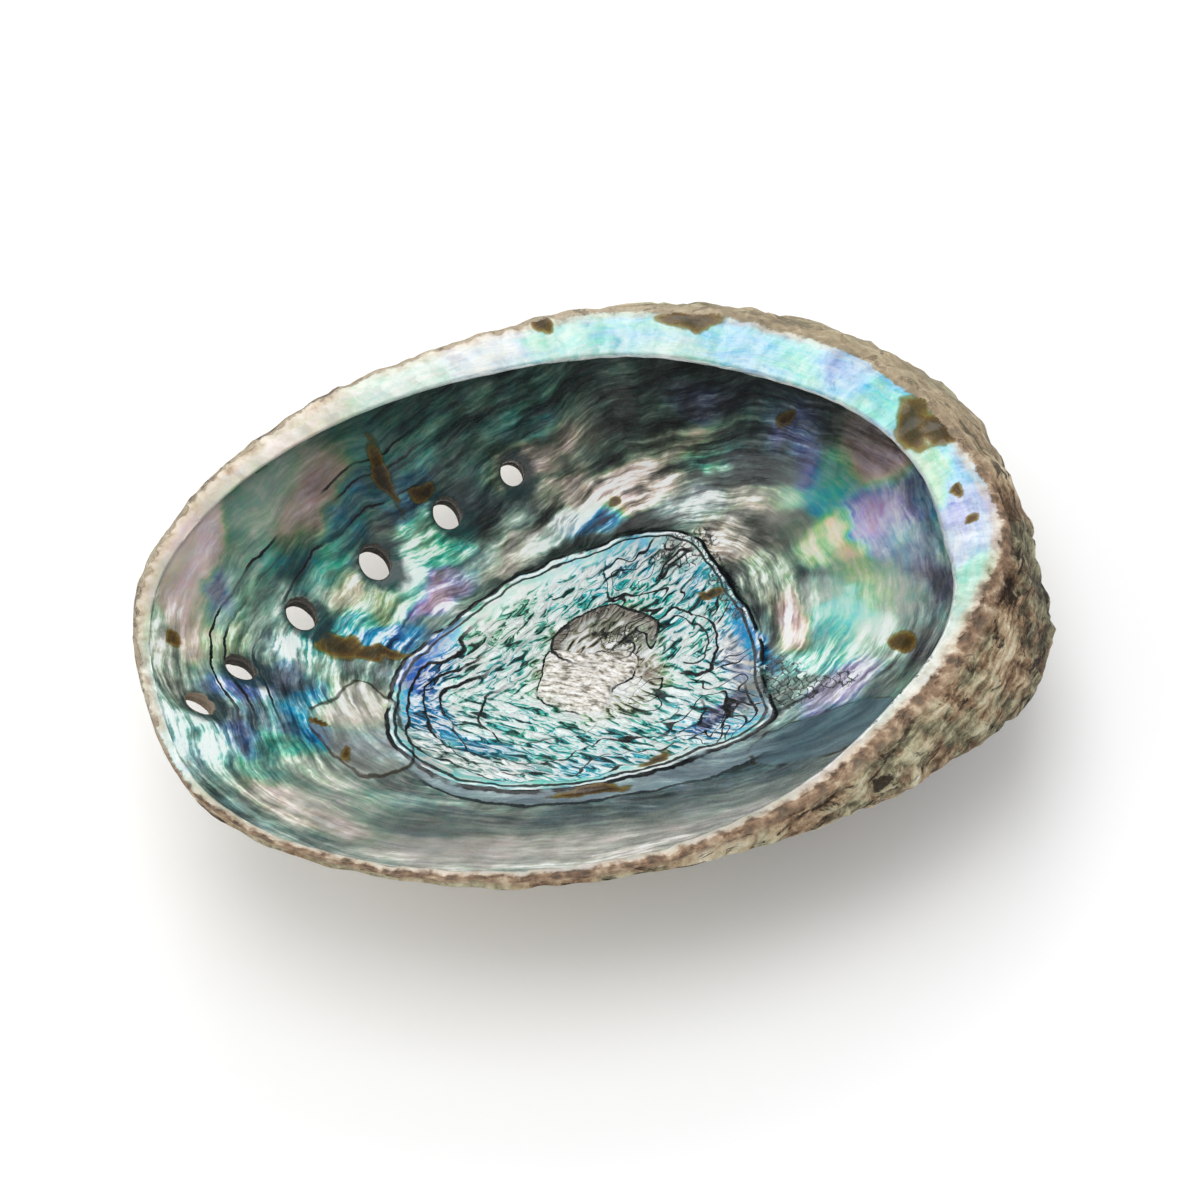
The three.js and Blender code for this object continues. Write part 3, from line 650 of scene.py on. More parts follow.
# Stains of the animal's dark inner skin, left in amber and brown: (x, y, along, across, heading).
HOLLOW_STAINS = [
    (-45.0, 9.0, 4.0, 2.6, 10), (-38.5, 8.0, 4.5, 1.3, -5), (-27.6, 35.4, 1.1, 4.2, 15),
    (-21.5, 33.4, 1.7, 1.0, 20), (46.3, 28.8, 1.5, 1.5, 0), (47.3, -22.0, 2.2, 2.4, 0),
    (-71.6, 6.8, 1.3, 1.6, 0), (-14.5, -34.6, 6.5, 1.3, -3), (-1.0, -29.5, 3.8, 1.3, 25),
    (-53.5, -7.5, 1.8, 0.8, -30), (-50.5, -16.0, 0.8, 2.4, -25), (21.5, 3.5, 2.0, 0.8, 10),
    (12.0, 27.3, 1.4, 0.7, 10),
]
SHELF_STAINS = [
    (6.0, 46.5, 1.6, 2.4, -20), (30.5, 39.0, 6.5, 2.0, -22), (58.5, 4.5, 3.0, 5.0, -30),
    (62.5, 1.0, 3.0, 3.4, 0), (60.5, -12.0, 0.8, 1.2, 0), (59.5, -18.5, 1.2, 0.7, 10),
    (66.0, -27.0, 1.1, 1.6, 0),
]


def lay_stains(stains):
    """1 in the middle of a stain, falling off steeply at its outline."""
    return np.max([np.exp(-(off_centre(*stain_at) ** 1.6) * 0.9) for stain_at in stains], axis=0)


stain = lay_stains(HOLLOW_STAINS) * (1 - on_shelf) + lay_stains(SHELF_STAINS) * on_shelf
stain = stain * inside

# Where the pearl has crazed into small plates, and where it is calm instead of streaked.
CRAZED = [
    (21.5, 14.0, 6.5, 4.5, 0), (4.0, 0.5, 4.5, 3.0, 0), (26.5, -19.0, 5.0, 7.5, 0),
    (33.0, -24.0, 6.0, 2.6, 0), (25.0, 3.0, 3.0, 8.0, 0),
]
crazed = sum(np.exp(-(off_centre(*crazed_at) ** 1.3)) for crazed_at in CRAZED)
CALM = [
    (52, 2, 13, 20, 1.0), (44, 12, 8, 8, 0.9), (43, -12, 10, 10, 0.9), (-46, -8, 8, 9, 0.55),
    (-29, 18, 10, 5, 0.5), (-12, 22, 12, 4, 0.35),
    (0, -50, 60, 12, 0.8), (-45, -38, 22, 12, 0.7), (-68, 16, 7, 16, 0.8), (-48, 34, 16, 7, 0.5),
    (34, -34, 14, 7, 0.7), (-58, -24, 16, 10, 0.6), (-56, 26, 16, 11, 0.75), (-30, 38, 14, 7, 0.6),
]
calm = sum(
    share * np.exp(-(((x - px) / reach_x) ** 2 + ((y - py) / reach_y) ** 2))
    for px, py, reach_x, reach_y, share in CALM
)

# Slow changes over the shell, for where lines break off and tones drift: about 0.5 everywhere.
DRIFT_SHARE = 0.2
broad_drift, long_drift, short_drift = (
    0.5 + DRIFT_SHARE * rough(form, size, seed, 3) for size, seed in ((7.0, 301), (13.0, 305), (4.8, 309))
)

MARKS = {
    "film": film, "light": light, "veil": veil, "stain": stain, "scar": scar, "terrace": terrace,
    "heart": heart, "tongue": tongue, "slate": slate, "growth": growth, "from_edge": from_edge,
    "from_lip": from_lip, "pore_shade_distance": pore_shade_reach, "age": ridge_phase,
    "eroded": eroded, "brow": brow, "lobe": lobe, "crazed": np.clip(crazed, 0, 1),
    "calm": np.clip(calm, 0, 1), "turn_x": np.cos(angle)[:, None], "turn_y": np.sin(angle)[:, None],
    "overhung": smooth(undercut, 0.8, 4.0), "broad_drift": broad_drift, "long_drift": long_drift,
    "short_drift": short_drift,
}
for name, values in MARKS.items():
    ends = [float(values[:, 0].mean()), float(values[:, -1].mean())]
    mark = shell_mesh.attributes.new(name, "FLOAT", "POINT")
    mark.data.foreach_set("value", np.concatenate([(values + 0 * x).ravel(), ends]).astype(np.float32))
known = shell_mesh.attributes.new("known", "FLOAT", "POINT")
known.data.foreach_set("value", np.ones(len(shell_mesh.vertices), np.float32))

for bit in bits:
    bore_cut = shell.modifiers.new("pore", "BOOLEAN")
    bore_cut.object = bit
    bore_cut.solver = "MANIFOLD"
    bpy.context.view_layer.objects.active = shell
    bpy.ops.object.modifier_apply(modifier=bore_cut.name)
    bpy.data.objects.remove(bit)
shell_mesh = shell.data

# The bores' new points take the marks of the nearest grown point.
count = len(shell_mesh.vertices)
flags = np.zeros(count, np.float32)
shell_mesh.attributes["known"].data.foreach_get("value", flags)
grown, new = np.flatnonzero(flags > 0.5), np.flatnonzero(flags <= 0.5)
grown_tree = KDTree(len(grown))
for i in grown:
    grown_tree.insert(shell_mesh.vertices[i].co, int(i))
grown_tree.balance()
nearest = [grown_tree.find(shell_mesh.vertices[i].co)[1] for i in new]
for name in MARKS:
    values = np.zeros(count, np.float32)
    shell_mesh.attributes[name].data.foreach_get("value", values)
    values[new] = values[nearest]
    shell_mesh.attributes[name].data.foreach_set("value", values)
shell_mesh.attributes.remove(shell_mesh.attributes["known"])
bored = shell_mesh.attributes.new("bored", "FLOAT", "POINT")
bored.data.foreach_set("value", 1 - flags)
while shell_mesh.uv_layers:
    shell_mesh.uv_layers.remove(shell_mesh.uv_layers[0])
shell_mesh.polygons.foreach_set("use_smooth", [True] * len(shell_mesh.polygons))


# THE SHELL'S FINISH. Pearl inside and on the lip, lime crust outside. The pearl is glossy and
# shifts in colour, with thin dark lines of horny skin where the layers overlap, fine cracks and
# wrinkles in the scar, and amber stains. The crust is dull, tan to olive brown, and pitted.
def paint(tree):
    """A short way to write nodes: feeds are values or sockets, in the order of the inputs."""
    def make(kind, *feeds, out=0, **settings):
        node = tree.nodes.new(kind)
        for name, value in settings.items():
            setattr(node, name, value)
        for socket, feed in zip(node.inputs, feeds):
            if isinstance(feed, bpy.types.NodeSocket):
                tree.links.new(feed, socket)
            elif feed is not None:
                socket.default_value = feed
        return node.outputs[out]
    return make


def colour(code):
    """A paint-chart colour such as "c8b090" as linear light."""
    parts = np.array([int(code[k : k + 2], 16) / 255 for k in (0, 2, 4)])
    linear = np.where(parts > 0.04045, ((parts + 0.055) / 1.055) ** 2.4, parts / 12.92)
    return (*(float(part) for part in linear), 1.0)


finish = bpy.data.materials.new("abalone_pearl_and_crust")
finish.use_nodes = True
finish.node_tree.nodes.clear()
tree = finish.node_tree
make = paint(tree)


def sum_of(a, b):
    return make("ShaderNodeMath", a, b, operation="ADD")


def less(a, b):
    return make("ShaderNodeMath", a, b, operation="SUBTRACT")


def times(a, b):
    return make("ShaderNodeMath", a, b, operation="MULTIPLY")


def most(a, b):
    return make("ShaderNodeMath", a, b, operation="MAXIMUM")


def fade(value, start, end, low_end=0.0, high_end=1.0):
    """An easy change from low_end at start to high_end at end, which may lie below start."""
    return make(
        "ShaderNodeMapRange", value, start, end, low_end, high_end, interpolation_type="SMOOTHSTEP"
    )


def mixed(mask, a, b, blend="MIX"):
    """a where the mask is 0, and b laid over it where the mask is 1."""
    node = tree.nodes.new("ShaderNodeMix")
    node.data_type = "RGBA"
    node.blend_type = blend
    for socket, feed in zip((node.inputs[0], node.inputs[6], node.inputs[7]), (mask, a, b)):
        if isinstance(feed, bpy.types.NodeSocket):
            tree.links.new(feed, socket)
        else:
            socket.default_value = feed
    return node.outputs[2]


def mark_of(name):
    """One of the marks laid on the shell's points above."""
    return make("ShaderNodeAttribute", attribute_name=name, out=2)


def line_at(value, level, half_width, soft=0.6):
    """1 where value is at a level, to half a width on either side."""
    off = make("ShaderNodeMath", less(value, level), operation="ABSOLUTE")
    return fade(off, half_width, half_width * soft)


def noise(place, scale, detail=3.0, roughness=0.55, distortion=0.0, flat=False):
    """Cloudy values round 0.5. A flat one looks the same at every height, and is quicker."""
    node = tree.nodes.new("ShaderNodeTexNoise")
    node.noise_dimensions = "2D" if flat else "3D"
    tree.links.new(place, node.inputs["Vector"])
    settings = {"Scale": scale, "Detail": detail, "Roughness": roughness, "Distortion": distortion}
    for name, value in settings.items():
        node.inputs[name].default_value = value
    return node.outputs[0]


def ramp(value, stops):
    """Colours from a list of (place on the ramp, paint-chart colour)."""
    node = tree.nodes.new("ShaderNodeValToRGB")
    tree.links.new(value, node.inputs[0])
    elements = node.color_ramp.elements
    while len(elements) < len(stops):
        elements.new(0.5)
    for element, (at, code) in zip(elements, stops):
        element.position = at
        element.color = colour(code)
    return node.outputs[0]


def vector(a, b, c):
    return make("ShaderNodeCombineXYZ", a, b, c)


def stretched(place, turn_degrees, size):
    """Places turned about Z and scaled, for marks longer one way than the other."""
    turn_back = -np.radians(turn_degrees)
    turned = make("ShaderNodeVectorRotate", place, None, None, turn_back, rotation_type="Z_AXIS")
    return make("ShaderNodeVectorMath", turned, size, operation="MULTIPLY")


object_place = make("ShaderNodeTexCoord", out=3)
place = make("ShaderNodeVectorMath", object_place, (1 / MM,) * 3, operation="MULTIPLY")
split_x = make("ShaderNodeSeparateXYZ", place, out=0)
split_y = make("ShaderNodeSeparateXYZ", place, out=1)
scar_mark, terrace_mark, growth_mark = mark_of("scar"), mark_of("terrace"), mark_of("growth")
edge_mark, lip_mark = mark_of("from_edge"), mark_of("from_lip")
calm_mark, crazed_mark = mark_of("calm"), mark_of("crazed")
SMALL_GRAIN, TINY_GRAIN = 0.45, 2.2
small = noise(place, SMALL_GRAIN, 4)
tiny = noise(place, TINY_GRAIN, 3)
jitter = less(small, 0.5)
fine_jitter = less(tiny, 0.5)
broad, drift, chance = mark_of("broad_drift"), mark_of("long_drift"), mark_of("short_drift")

# Streaks lie along the growth lines, so they are drawn out along the edge and narrow across it.
STREAK_DRAW, STREAK_CLOSENESS, STREAK_SHAKE, FINE_STREAK_CLOSER = 0.075, 0.42, 1.1, (2.6, 2.6, 3.4)
across_streak = sum_of(growth_mark, times(jitter, STREAK_SHAKE))
streak_place = vector(
    times(split_x, STREAK_DRAW), times(split_y, STREAK_DRAW), times(across_streak, STREAK_CLOSENESS)
)
streak = noise(streak_place, 1.0, 4, 0.62, 0.25)
fine_streak_place = make("ShaderNodeVectorMath", streak_place, FINE_STREAK_CLOSER, operation="MULTIPLY")
fine_streak = noise(fine_streak_place, 1.0, 3, 0.6)

# Wrinkles of the scar run one way above its middle and another way below it.
in_scar_mask = fade(scar_mark, 0.2, 1.4)
UPPER_HEADING, UPPER_DRAW = 24, (0.30, 1.0, 0.4)
LOWER_HEADING, LOWER_DRAW = -42, (0.26, 0.86, 0.4)
upper = noise(stretched(place, UPPER_HEADING, UPPER_DRAW), 1.0, 3, 0.6, 0.7, flat=True)
lower = noise(stretched(place, LOWER_HEADING, LOWER_DRAW), 1.0, 3, 0.6, 0.7, flat=True)
across_scar = sum_of(sum_of(split_y, times(split_x, 0.12)), times(jitter, 8.0))
upper_side = fade(across_scar, -12.0, -2.0)
ripple = sum_of(times(upper, upper_side), times(lower, less(1.0, upper_side)))
ripple_zone = times(fade(scar_mark, 2.5, 5.5), less(1.0, fade(mark_of("heart"), -0.6, 0.4, 0.0, 0.75)))

# Crazing is a net of fine cracks.
CRAZE_HEADING, CRAZE_DRAW, CRAZE_SHAKE, CRAZE_SHIVER = 30, (0.55, 0.95, 0.6), 3.0, 1.5
craze_shift = vector(times(jitter, CRAZE_SHAKE), times(fine_jitter, CRAZE_SHIVER), 0.0)
craze_place = make("ShaderNodeVectorMath", place, craze_shift, operation="ADD")
craze_place = stretched(craze_place, CRAZE_HEADING, CRAZE_DRAW)
craze_gap = make(
    "ShaderNodeTexVoronoi", craze_place, None, 1.0, feature="DISTANCE_TO_EDGE", voronoi_dimensions="2D"
)
craze_plate = make(
    "ShaderNodeTexVoronoi", craze_place, None, 1.0, feature="F1", voronoi_dimensions="2D", out=1
)
craze_tone = make("ShaderNodeSeparateColor", craze_plate, out=0)
craze_here = fade(sum_of(crazed_mark, times(jitter, 0.7)), 0.35, 0.6)
craze = times(fade(craze_gap, 0.14, 0.05), craze_here)

# The pearl's own colour.
FILM_STOPS = [
    (0.0, "d589c9"), (0.12, "9c80e6"), (0.24, "4a66d2"), (0.34, "147cc9"), (0.44, "18b2dc"),
    (0.54, "2bd0bd"), (0.64, "3cca8f"), (0.74, "9ad97c"), (0.84, "f3d59c"), (0.92, "f0a79d"),
    (1.0, "d589c9"),
]
STREAK_TURN, SCAR_STREAK_TURN, BROAD_TURN, SMALL_TURN, SCAR_TURN = 0.34, 0.06, 0.25, 0.14, 0.015
film_streak = times(less(streak, 0.5), fade(in_scar_mask, 0.0, 1.0, STREAK_TURN, SCAR_STREAK_TURN))
film_drift = sum_of(times(less(broad, 0.5), BROAD_TURN), film_streak)
film_drift = sum_of(film_drift, times(in_scar_mask, SCAR_TURN))
film_now = sum_of(mark_of("film"), sum_of(times(jitter, SMALL_TURN), film_drift))
film_now = make("ShaderNodeMath", film_now, 1.0, 0.0, operation="WRAP")
rainbow = ramp(film_now, FILM_STOPS)
FRONT_WALL_GREY = colour("a9a49b")
rainbow = mixed(fade(split_y, -28.0, -44.0, 0.0, 0.6), rainbow, FRONT_WALL_GREY)
MILK = [(0.35, "c9cdc4"), (0.5, "dfddd4"), (0.65, "e6dbd9")]
milk = ramp(chance, MILK)
veil_drift = sum_of(times(less(fine_streak, 0.62), 0.9), times(jitter, 0.6))
# Painted highlight: the scar's ripples are milkier on their crests.
veil_drift = sum_of(veil_drift, times(in_scar_mask, fade(ripple, 0.42, 0.60, -0.22, 0.30)))
veil_now = make("ShaderNodeClamp", sum_of(mark_of("veil"), veil_drift))
pearl = mixed(veil_now, rainbow, milk)

# How bright it is: streaks round the hollow, plates where it has crazed, and in the scar painted light and
# shade on the ripples, lit on their crests and shaded in their hollows.
wild = less(1.0, times(calm_mark, 0.9))
streak_gain = make("ShaderNodeMapRange", streak, 0.33, 0.67, 0.25, 1.75)
fine_gain = make("ShaderNodeMapRange", fine_streak, 0.32, 0.68, 0.70, 1.3)
streaks = sum_of(1.0, times(less(times(streak_gain, fine_gain), 1.0), wild))
CLOUD_HEADING, CLOUD_DRAW = 35, (0.12, 0.26, 0.2)
cloud = noise(stretched(place, CLOUD_HEADING, CLOUD_DRAW), 1.0, 3, 0.6)
clouds = make("ShaderNodeMapRange", cloud, 0.36, 0.62, 0.62, 1.3)
# Painted light and shade: the ripples are made bright on their crests and dark in their hollows.
ripple_painted_light = make("ShaderNodeMapRange", ripple, 0.38, 0.60, 0.5, 1.65)
ripple_light_gain = sum_of(1.0, times(less(ripple_painted_light, 1.0), ripple_zone))
plate_gain = make("ShaderNodeMapRange", craze_tone, 0.0, 1.0, 0.6, 1.35)
plates = sum_of(1.0, times(less(plate_gain, 1.0), craze_here))
outside_scar = less(1.0, in_scar_mask)
shelf_here = fade(lip_mark, 0.5, -0.5)
turn_x_mark, turn_y_mark = mark_of("turn_x"), mark_of("turn_y")
BRUSH_TURN, BRUSH_SHAKE, BRUSH_DRAW = 22.0, 2.0, 0.16
brush_place = vector(
    sum_of(times(turn_x_mark, BRUSH_TURN), times(jitter, BRUSH_SHAKE)),
    times(turn_y_mark, BRUSH_TURN),
    times(lip_mark, BRUSH_DRAW),
)
brush = noise(brush_place, 1.0, 3, 0.65)
brushed = make("ShaderNodeMapRange", brush, 0.36, 0.64, 0.94, 1.08)
cloudy = sum_of(1.0, times(less(clouds, 1.0), wild))
gain = sum_of(times(times(streaks, cloudy), outside_scar), times(ripple_light_gain, in_scar_mask))
gain = sum_of(times(gain, less(1.0, shelf_here)), times(brushed, shelf_here))
light_now = times(times(mark_of("light"), gain), plates)
# Painted highlight: where the pearl is painted brightest it turns to a near-white glint.
LIGHT_CURVE, PAINTED_GLINT = 1.8, colour("f4f8f6")
light_now = make("ShaderNodeMath", most(light_now, 0.0), LIGHT_CURVE, operation="POWER")
painted_glint_mask = fade(light_now, 0.75, 1.5, 0.0, 0.8)
light_now = make("ShaderNodeMath", light_now, 1.0, operation="MINIMUM")
pearl = mixed(1.0, pearl, make("ShaderNodeCombineColor", light_now, light_now, light_now), "MULTIPLY")
pearl = mixed(painted_glint_mask, pearl, PAINTED_GLINT)

# The rough heart of the scar is bare and beige, under a brow of taupe.
bare_grain = noise(stretched(place, -30, (0.5, 1.3, 1)), 1.0, 3, 0.65, flat=True)
BARE = [(0.34, "5e564a"), (0.44, "b9b0a2"), (0.56, "efeae2"), (0.7, "ffffff")]
TAUPE = [(0.35, "453f37"), (0.5, "7d756a"), (0.65, "b3aea2")]
bare = ramp(bare_grain, BARE)
heart_mark = sum_of(mark_of("heart"), times(fine_jitter, 0.5))
pearl = mixed(fade(heart_mark, -0.1, 0.3, 0.0, 0.9), pearl, bare)
brow_mark = sum_of(mark_of("brow"), times(fine_jitter, 0.5))
brow_band = times(fade(brow_mark, 0.0, 0.3), fade(sum_of(brow_mark, times(jitter, 2.0)), 3.2, 1.2))
brow_band = times(brow_band, fade(split_y, -5.0, 1.0))
taupe = ramp(fine_streak, TAUPE)
pearl = mixed(times(brow_band, less(1.0, fade(heart_mark, -0.2, 0.4))), pearl, taupe)

# Thin dark lines of horny skin where one layer ends on another, and the slate, the tongue and
# the band below the scar, which such lines close off. Painted highlight runs along the scar's ridge
# and the overhanging lip's edge, and the dark lines also carry the painted shade of the ripples.
SLATE_DARK, SLATE_PALE = colour("14242d"), colour("6d8792")
TONGUE_DARK, TONGUE_PALE = colour("77746b"), colour("dcd8ce")
BAND_DARK, BAND_PALE = colour("2f4250"), colour("a9bcc9")
HIGHLIGHT_WHITE, HORN, DARK_LINE_AND_SHADE = colour("f2f6f4"), colour("2c2213"), colour("0f1316")
line_wobble = sum_of(times(jitter, 1.0), times(fine_jitter, 0.15))
scar_line = sum_of(scar_mark, times(line_wobble, 0.7))
broken = fade(chance, 0.36, 0.46)
dark_lines_and_shade = most(times(line_at(scar_line, 0.0, 0.46), broken), times(line_at(scar_line, 1.35, 0.34), 0.95))
# Painted highlight: a bright sliver on the scar's raised ridge, between its two dark outline lines.
scar_ridge_highlight = times(line_at(scar_line, 0.7, 0.26), fade(chance, 0.48, 0.56))
low_side = most(fade(split_x, -16.0, -24.0), fade(split_y, -14.0, -20.0))
for level, fall in TERRACES:
    strength = times(fade(drift, 0.30, 0.38), low_side)
    dark_lines_and_shade = most(dark_lines_and_shade, times(line_at(sum_of(terrace_mark, line_wobble), level, 0.36), strength))
wobbly_growth = sum_of(growth_mark, times(line_wobble, 1.2))
left_wall = times(fade(split_x, -12.0, -26.0), fade(split_y, -14.0, -2.0))
WALL_LINES = (17.5, 20.5, 26.0)
for level in WALL_LINES:
    strength = times(fade(drift, 0.38, 0.5), left_wall)
    dark_lines_and_shade = most(dark_lines_and_shade, times(line_at(wobbly_growth, level, 0.35), strength))
slate_fill = times(fade(sum_of(mark_of("slate"), line_wobble), 0.0, 0.6), outside_scar)
pearl = mixed(times(slate_fill, 0.75), pearl, mixed(streak, SLATE_DARK, SLATE_PALE))
tongue_fill = times(fade(sum_of(mark_of("tongue"), line_wobble), 0.0, 0.6), outside_scar)
pearl = mixed(times(tongue_fill, 0.28), pearl, mixed(streak, TONGUE_DARK, TONGUE_PALE))
below = sum_of(sum_of(scar_mark, times(line_wobble, 1.3)), sum_of(times(split_x, 0.075), 5.2))
below_zone = times(fade(split_x, -44.0, -38.0), fade(split_x, 22.0, 12.0))
below_zone = times(fade(split_y, -15.0, -19.0), below_zone)
band = times(times(fade(below, -0.6, 0.4), outside_scar), below_zone)
pearl = mixed(times(band, 0.55), pearl, mixed(streak, BAND_DARK, BAND_PALE))
dark_lines_and_shade = most(dark_lines_and_shade, times(times(line_at(below, 0.0, 0.5), below_zone), 0.9))
HORN_WIDTH, HORN_SOFTNESS = 0.55, 0.3
tongue_line = line_at(sum_of(mark_of("tongue"), line_wobble), 0.0, HORN_WIDTH, HORN_SOFTNESS)
slate_line = line_at(sum_of(mark_of("slate"), line_wobble), 0.0, HORN_WIDTH, HORN_SOFTNESS)
horn = most(times(tongue_line, fade(drift, 0.32, 0.44)), times(slate_line, fade(chance, 0.40, 0.5)))
dark_lines_and_shade = most(dark_lines_and_shade, times(line_at(heart_mark, -0.15, 0.22), fade(chance, 0.42, 0.52)))
dark_lines_and_shade = most(dark_lines_and_shade, times(line_at(brow_mark, 0.0, 0.38), fade(split_y, -4.0, 0.0)))
lobe_mark = sum_of(mark_of("lobe"), times(line_wobble, 0.8))
lobe_lines = most(line_at(lobe_mark, 0.0, 0.32), times(line_at(lobe_mark, 1.9, 0.26), 0.95))
dark_lines_and_shade = most(dark_lines_and_shade, times(lobe_lines, fade(sum_of(split_x, times(jitter, 9.0)), 11.0, 12.5)))
WANDER_HEADING, WANDER_DRAW = 25, (0.060, 0.105, 0.1)
wander = noise(stretched(place, WANDER_HEADING, WANDER_DRAW), 1.0, 2, 0.5, 0.3, flat=True)
wander_zone = times(fade(split_x, -2.0, 6.0), less(1.0, fade(lobe_mark, -1.0, 0.0)))
wander_zone = times(fade(scar_mark, 1.0, 2.5), wander_zone)
wander_lines = most(line_at(wander, 0.45, 0.010), line_at(wander, 0.56, 0.008))
dark_lines_and_shade = most(dark_lines_and_shade, times(wander_lines, wander_zone))
# Painted shade: dark strokes in the hollows of the scar's ripples, drawn in the same dark as the lines.
ripple_hollow_shade = times(times(fade(ripple, 0.395, 0.36), ripple_zone), 0.9)
dark_lines_and_shade = most(dark_lines_and_shade, most(times(craze, 0.9), ripple_hollow_shade))
# Painted highlight along the edge of the lip where it overhangs.
lip_edge_highlight = line_at(sum_of(lip_mark, times(jitter, 0.8)), 0.1, 0.7)
lip_edge_highlight = times(times(lip_edge_highlight, fade(streak, 0.4, 0.6, 0.35, 0.9)), mark_of("overhung"))
pearl = mixed(most(times(scar_ridge_highlight, 0.85), lip_edge_highlight), pearl, HIGHLIGHT_WHITE)
pearl = mixed(times(horn, 0.85), pearl, HORN)
pearl = mixed(dark_lines_and_shade, pearl, DARK_LINE_AND_SHADE)

# The pearl ends at the crest of the edge, on a ragged line, with a band of pale lime beside it.
rag = sum_of(times(jitter, 3.0), times(fine_jitter, 1.0))
pearl_side = fade(sum_of(edge_mark, rag), 0.35, 0.95)
LIME = [(0.35, "a68b6e"), (0.5, "cbb99f"), (0.65, "e0d5c0")]
lime = ramp(small, LIME)
lime_band = times(fade(sum_of(edge_mark, rag), 3.4, 1.0), fade(drift, 0.35, 0.55))
pearl = mixed(times(lime_band, 0.8), pearl, lime)

# Amber stains, dark at the middle and olive at the rim, and painted shade round the pores and in their
# bores.
AMBER_GLAZE, SEALED_BORE = colour("a58a4a"), colour("8d7d68")
PORE_SHADE_DARK, PORE_SHADE_PALE, BORE_SHADE_DARK, BORE_SHADE_PALE = (
    colour(code) for code in ("07181d", "1c3d40", "15191a", "5c564b")
)
stain_now = sum_of(mark_of("stain"), times(jitter, 0.5))
AMBER = [(0.25, "98905a"), (0.42, "84702c"), (0.65, "5f441a"), (1.0, "33240f")]
stain_colour = ramp(sum_of(stain_now, times(fine_jitter, 0.5)), AMBER)
# The stains are darkened with the painted shade in the light mark, so they sit in the same shade as the
# pearl round them.
in_shade = fade(mark_of("light"), 0.1, 0.6, 0.12, 1.0)
stain_shade = make("ShaderNodeCombineColor", in_shade, in_shade, in_shade)
stain_colour = mixed(1.0, stain_colour, stain_shade, "MULTIPLY")
pearl = mixed(fade(stain_now, 0.20, 0.42, 0.0, 0.9), pearl, AMBER_GLAZE, "MULTIPLY")
pearl = mixed(fade(stain_now, 0.30, 0.62, 0.0, 0.88), pearl, stain_colour)
# Painted shade: dark teal beside each pore, falling to one side of it.
pore_painted_shade = fade(sum_of(mark_of("pore_shade_distance"), times(jitter, 3.0)), 2.8, 0.7)
pearl = mixed(times(pore_painted_shade, 0.88), pearl, mixed(broad, PORE_SHADE_DARK, PORE_SHADE_PALE))
# Painted shade on the walls of the open bores; the plugged last pore is brown.
bore_painted_shade = mixed(small, BORE_SHADE_DARK, BORE_SHADE_PALE)
bore_shade_and_plug = mixed(fade(split_x, -64.0, -68.0), bore_painted_shade, SEALED_BORE)

# The crust on the back: lime laid in tan and olive layers, pitted, rusty toward the thick edge and
# paler where it thins out beside the pearl. It is darker the deeper it is worn: painted shade in
# the crevices.
age = mark_of("age")
eroded_shade = mark_of("eroded")
LAYER_DRAW, LAYER_CLOSENESS, LAYER_SHAKE = 12.0, 1.5, 0.6
layer_age = sum_of(age, times(jitter, LAYER_SHAKE))
layer_place = vector(
    times(turn_x_mark, LAYER_DRAW), times(turn_y_mark, LAYER_DRAW), times(layer_age, LAYER_CLOSENESS)
)
bands_tone = noise(layer_place, 1.0, 4, 0.68, 0.6)
grain = noise(place, 1.1, 4, 0.75)
ERODED_SHADE_SHARE, LAYER_SHARE, GRAIN_SHARE, MIDDLE_TONE = 0.27, 1.1, 0.5, 0.26
tones = sum_of(times(less(bands_tone, 0.5), LAYER_SHARE), times(less(grain, 0.5), GRAIN_SHARE))
depth = sum_of(times(eroded_shade, ERODED_SHADE_SHARE), tones)
TAN = [
    (0.10, "e3d9c3"), (0.26, "cdbd9f"), (0.40, "b09b7c"),
    (0.52, "8f755b"), (0.66, "5f4935"), (0.85, "33261a"),
]
OLIVE = [
    (0.10, "e0dcc8"), (0.26, "c6c0a2"), (0.40, "a8a283"),
    (0.52, "7f7a60"), (0.66, "575240"), (0.85, "2e2a20"),
]
depth = sum_of(depth, MIDDLE_TONE)
tan_layers, olive_layers = ramp(depth, TAN), ramp(depth, OLIVE)
crust_colour = mixed(fade(sum_of(drift, times(jitter, 0.4)), 0.44, 0.58), tan_layers, olive_layers)
PIT_DRAW, PIT_CLOSENESS = 24.0, 0.85
crust_place = vector(
    times(turn_x_mark, PIT_DRAW), times(turn_y_mark, PIT_DRAW), times(edge_mark, PIT_CLOSENESS)
)
pit_noise = noise(crust_place, 0.42, 4, 0.68, 0.8)
pits_dark = fade(pit_noise, 0.45, 0.36)
crust_colour = mixed(times(pits_dark, 0.92), crust_colour, colour("231810"))
rust = ramp(small, [(0.36, "3d2c1f"), (0.46, "79573f"), (0.56, "a5866a"), (0.66, "cdb79b")])
thick_side = most(fade(turn_y_mark, 0.1, -0.5), fade(turn_x_mark, 0.35, 0.75))
rust_zone = fade(sum_of(edge_mark, times(jitter, 4.0)), -3.4, -0.8)
rust_zone = times(rust_zone, fade(thick_side, 0.0, 1.0, 0.12, 0.8))
pale_zone = fade(sum_of(edge_mark, times(jitter, 3.0)), -2.6, -0.6, 0.0, 0.6)
crust_colour = mixed(pale_zone, crust_colour, colour("c4b7a3"))
crust_colour = mixed(rust_zone, crust_colour, rust)
far_crust = times(fade(turn_y_mark, -0.25, 0.4), fade(turn_x_mark, 0.2, 0.7))
crust_colour = mixed(times(far_crust, 0.5), crust_colour, mixed(small, colour("9d9274"), colour("d3c8aa")))
front_edge = times(fade(sum_of(edge_mark, rag), 1.9, 0.6), fade(turn_y_mark, -0.30, -0.62))
pearl = mixed(times(front_edge, 0.85), pearl, rust)

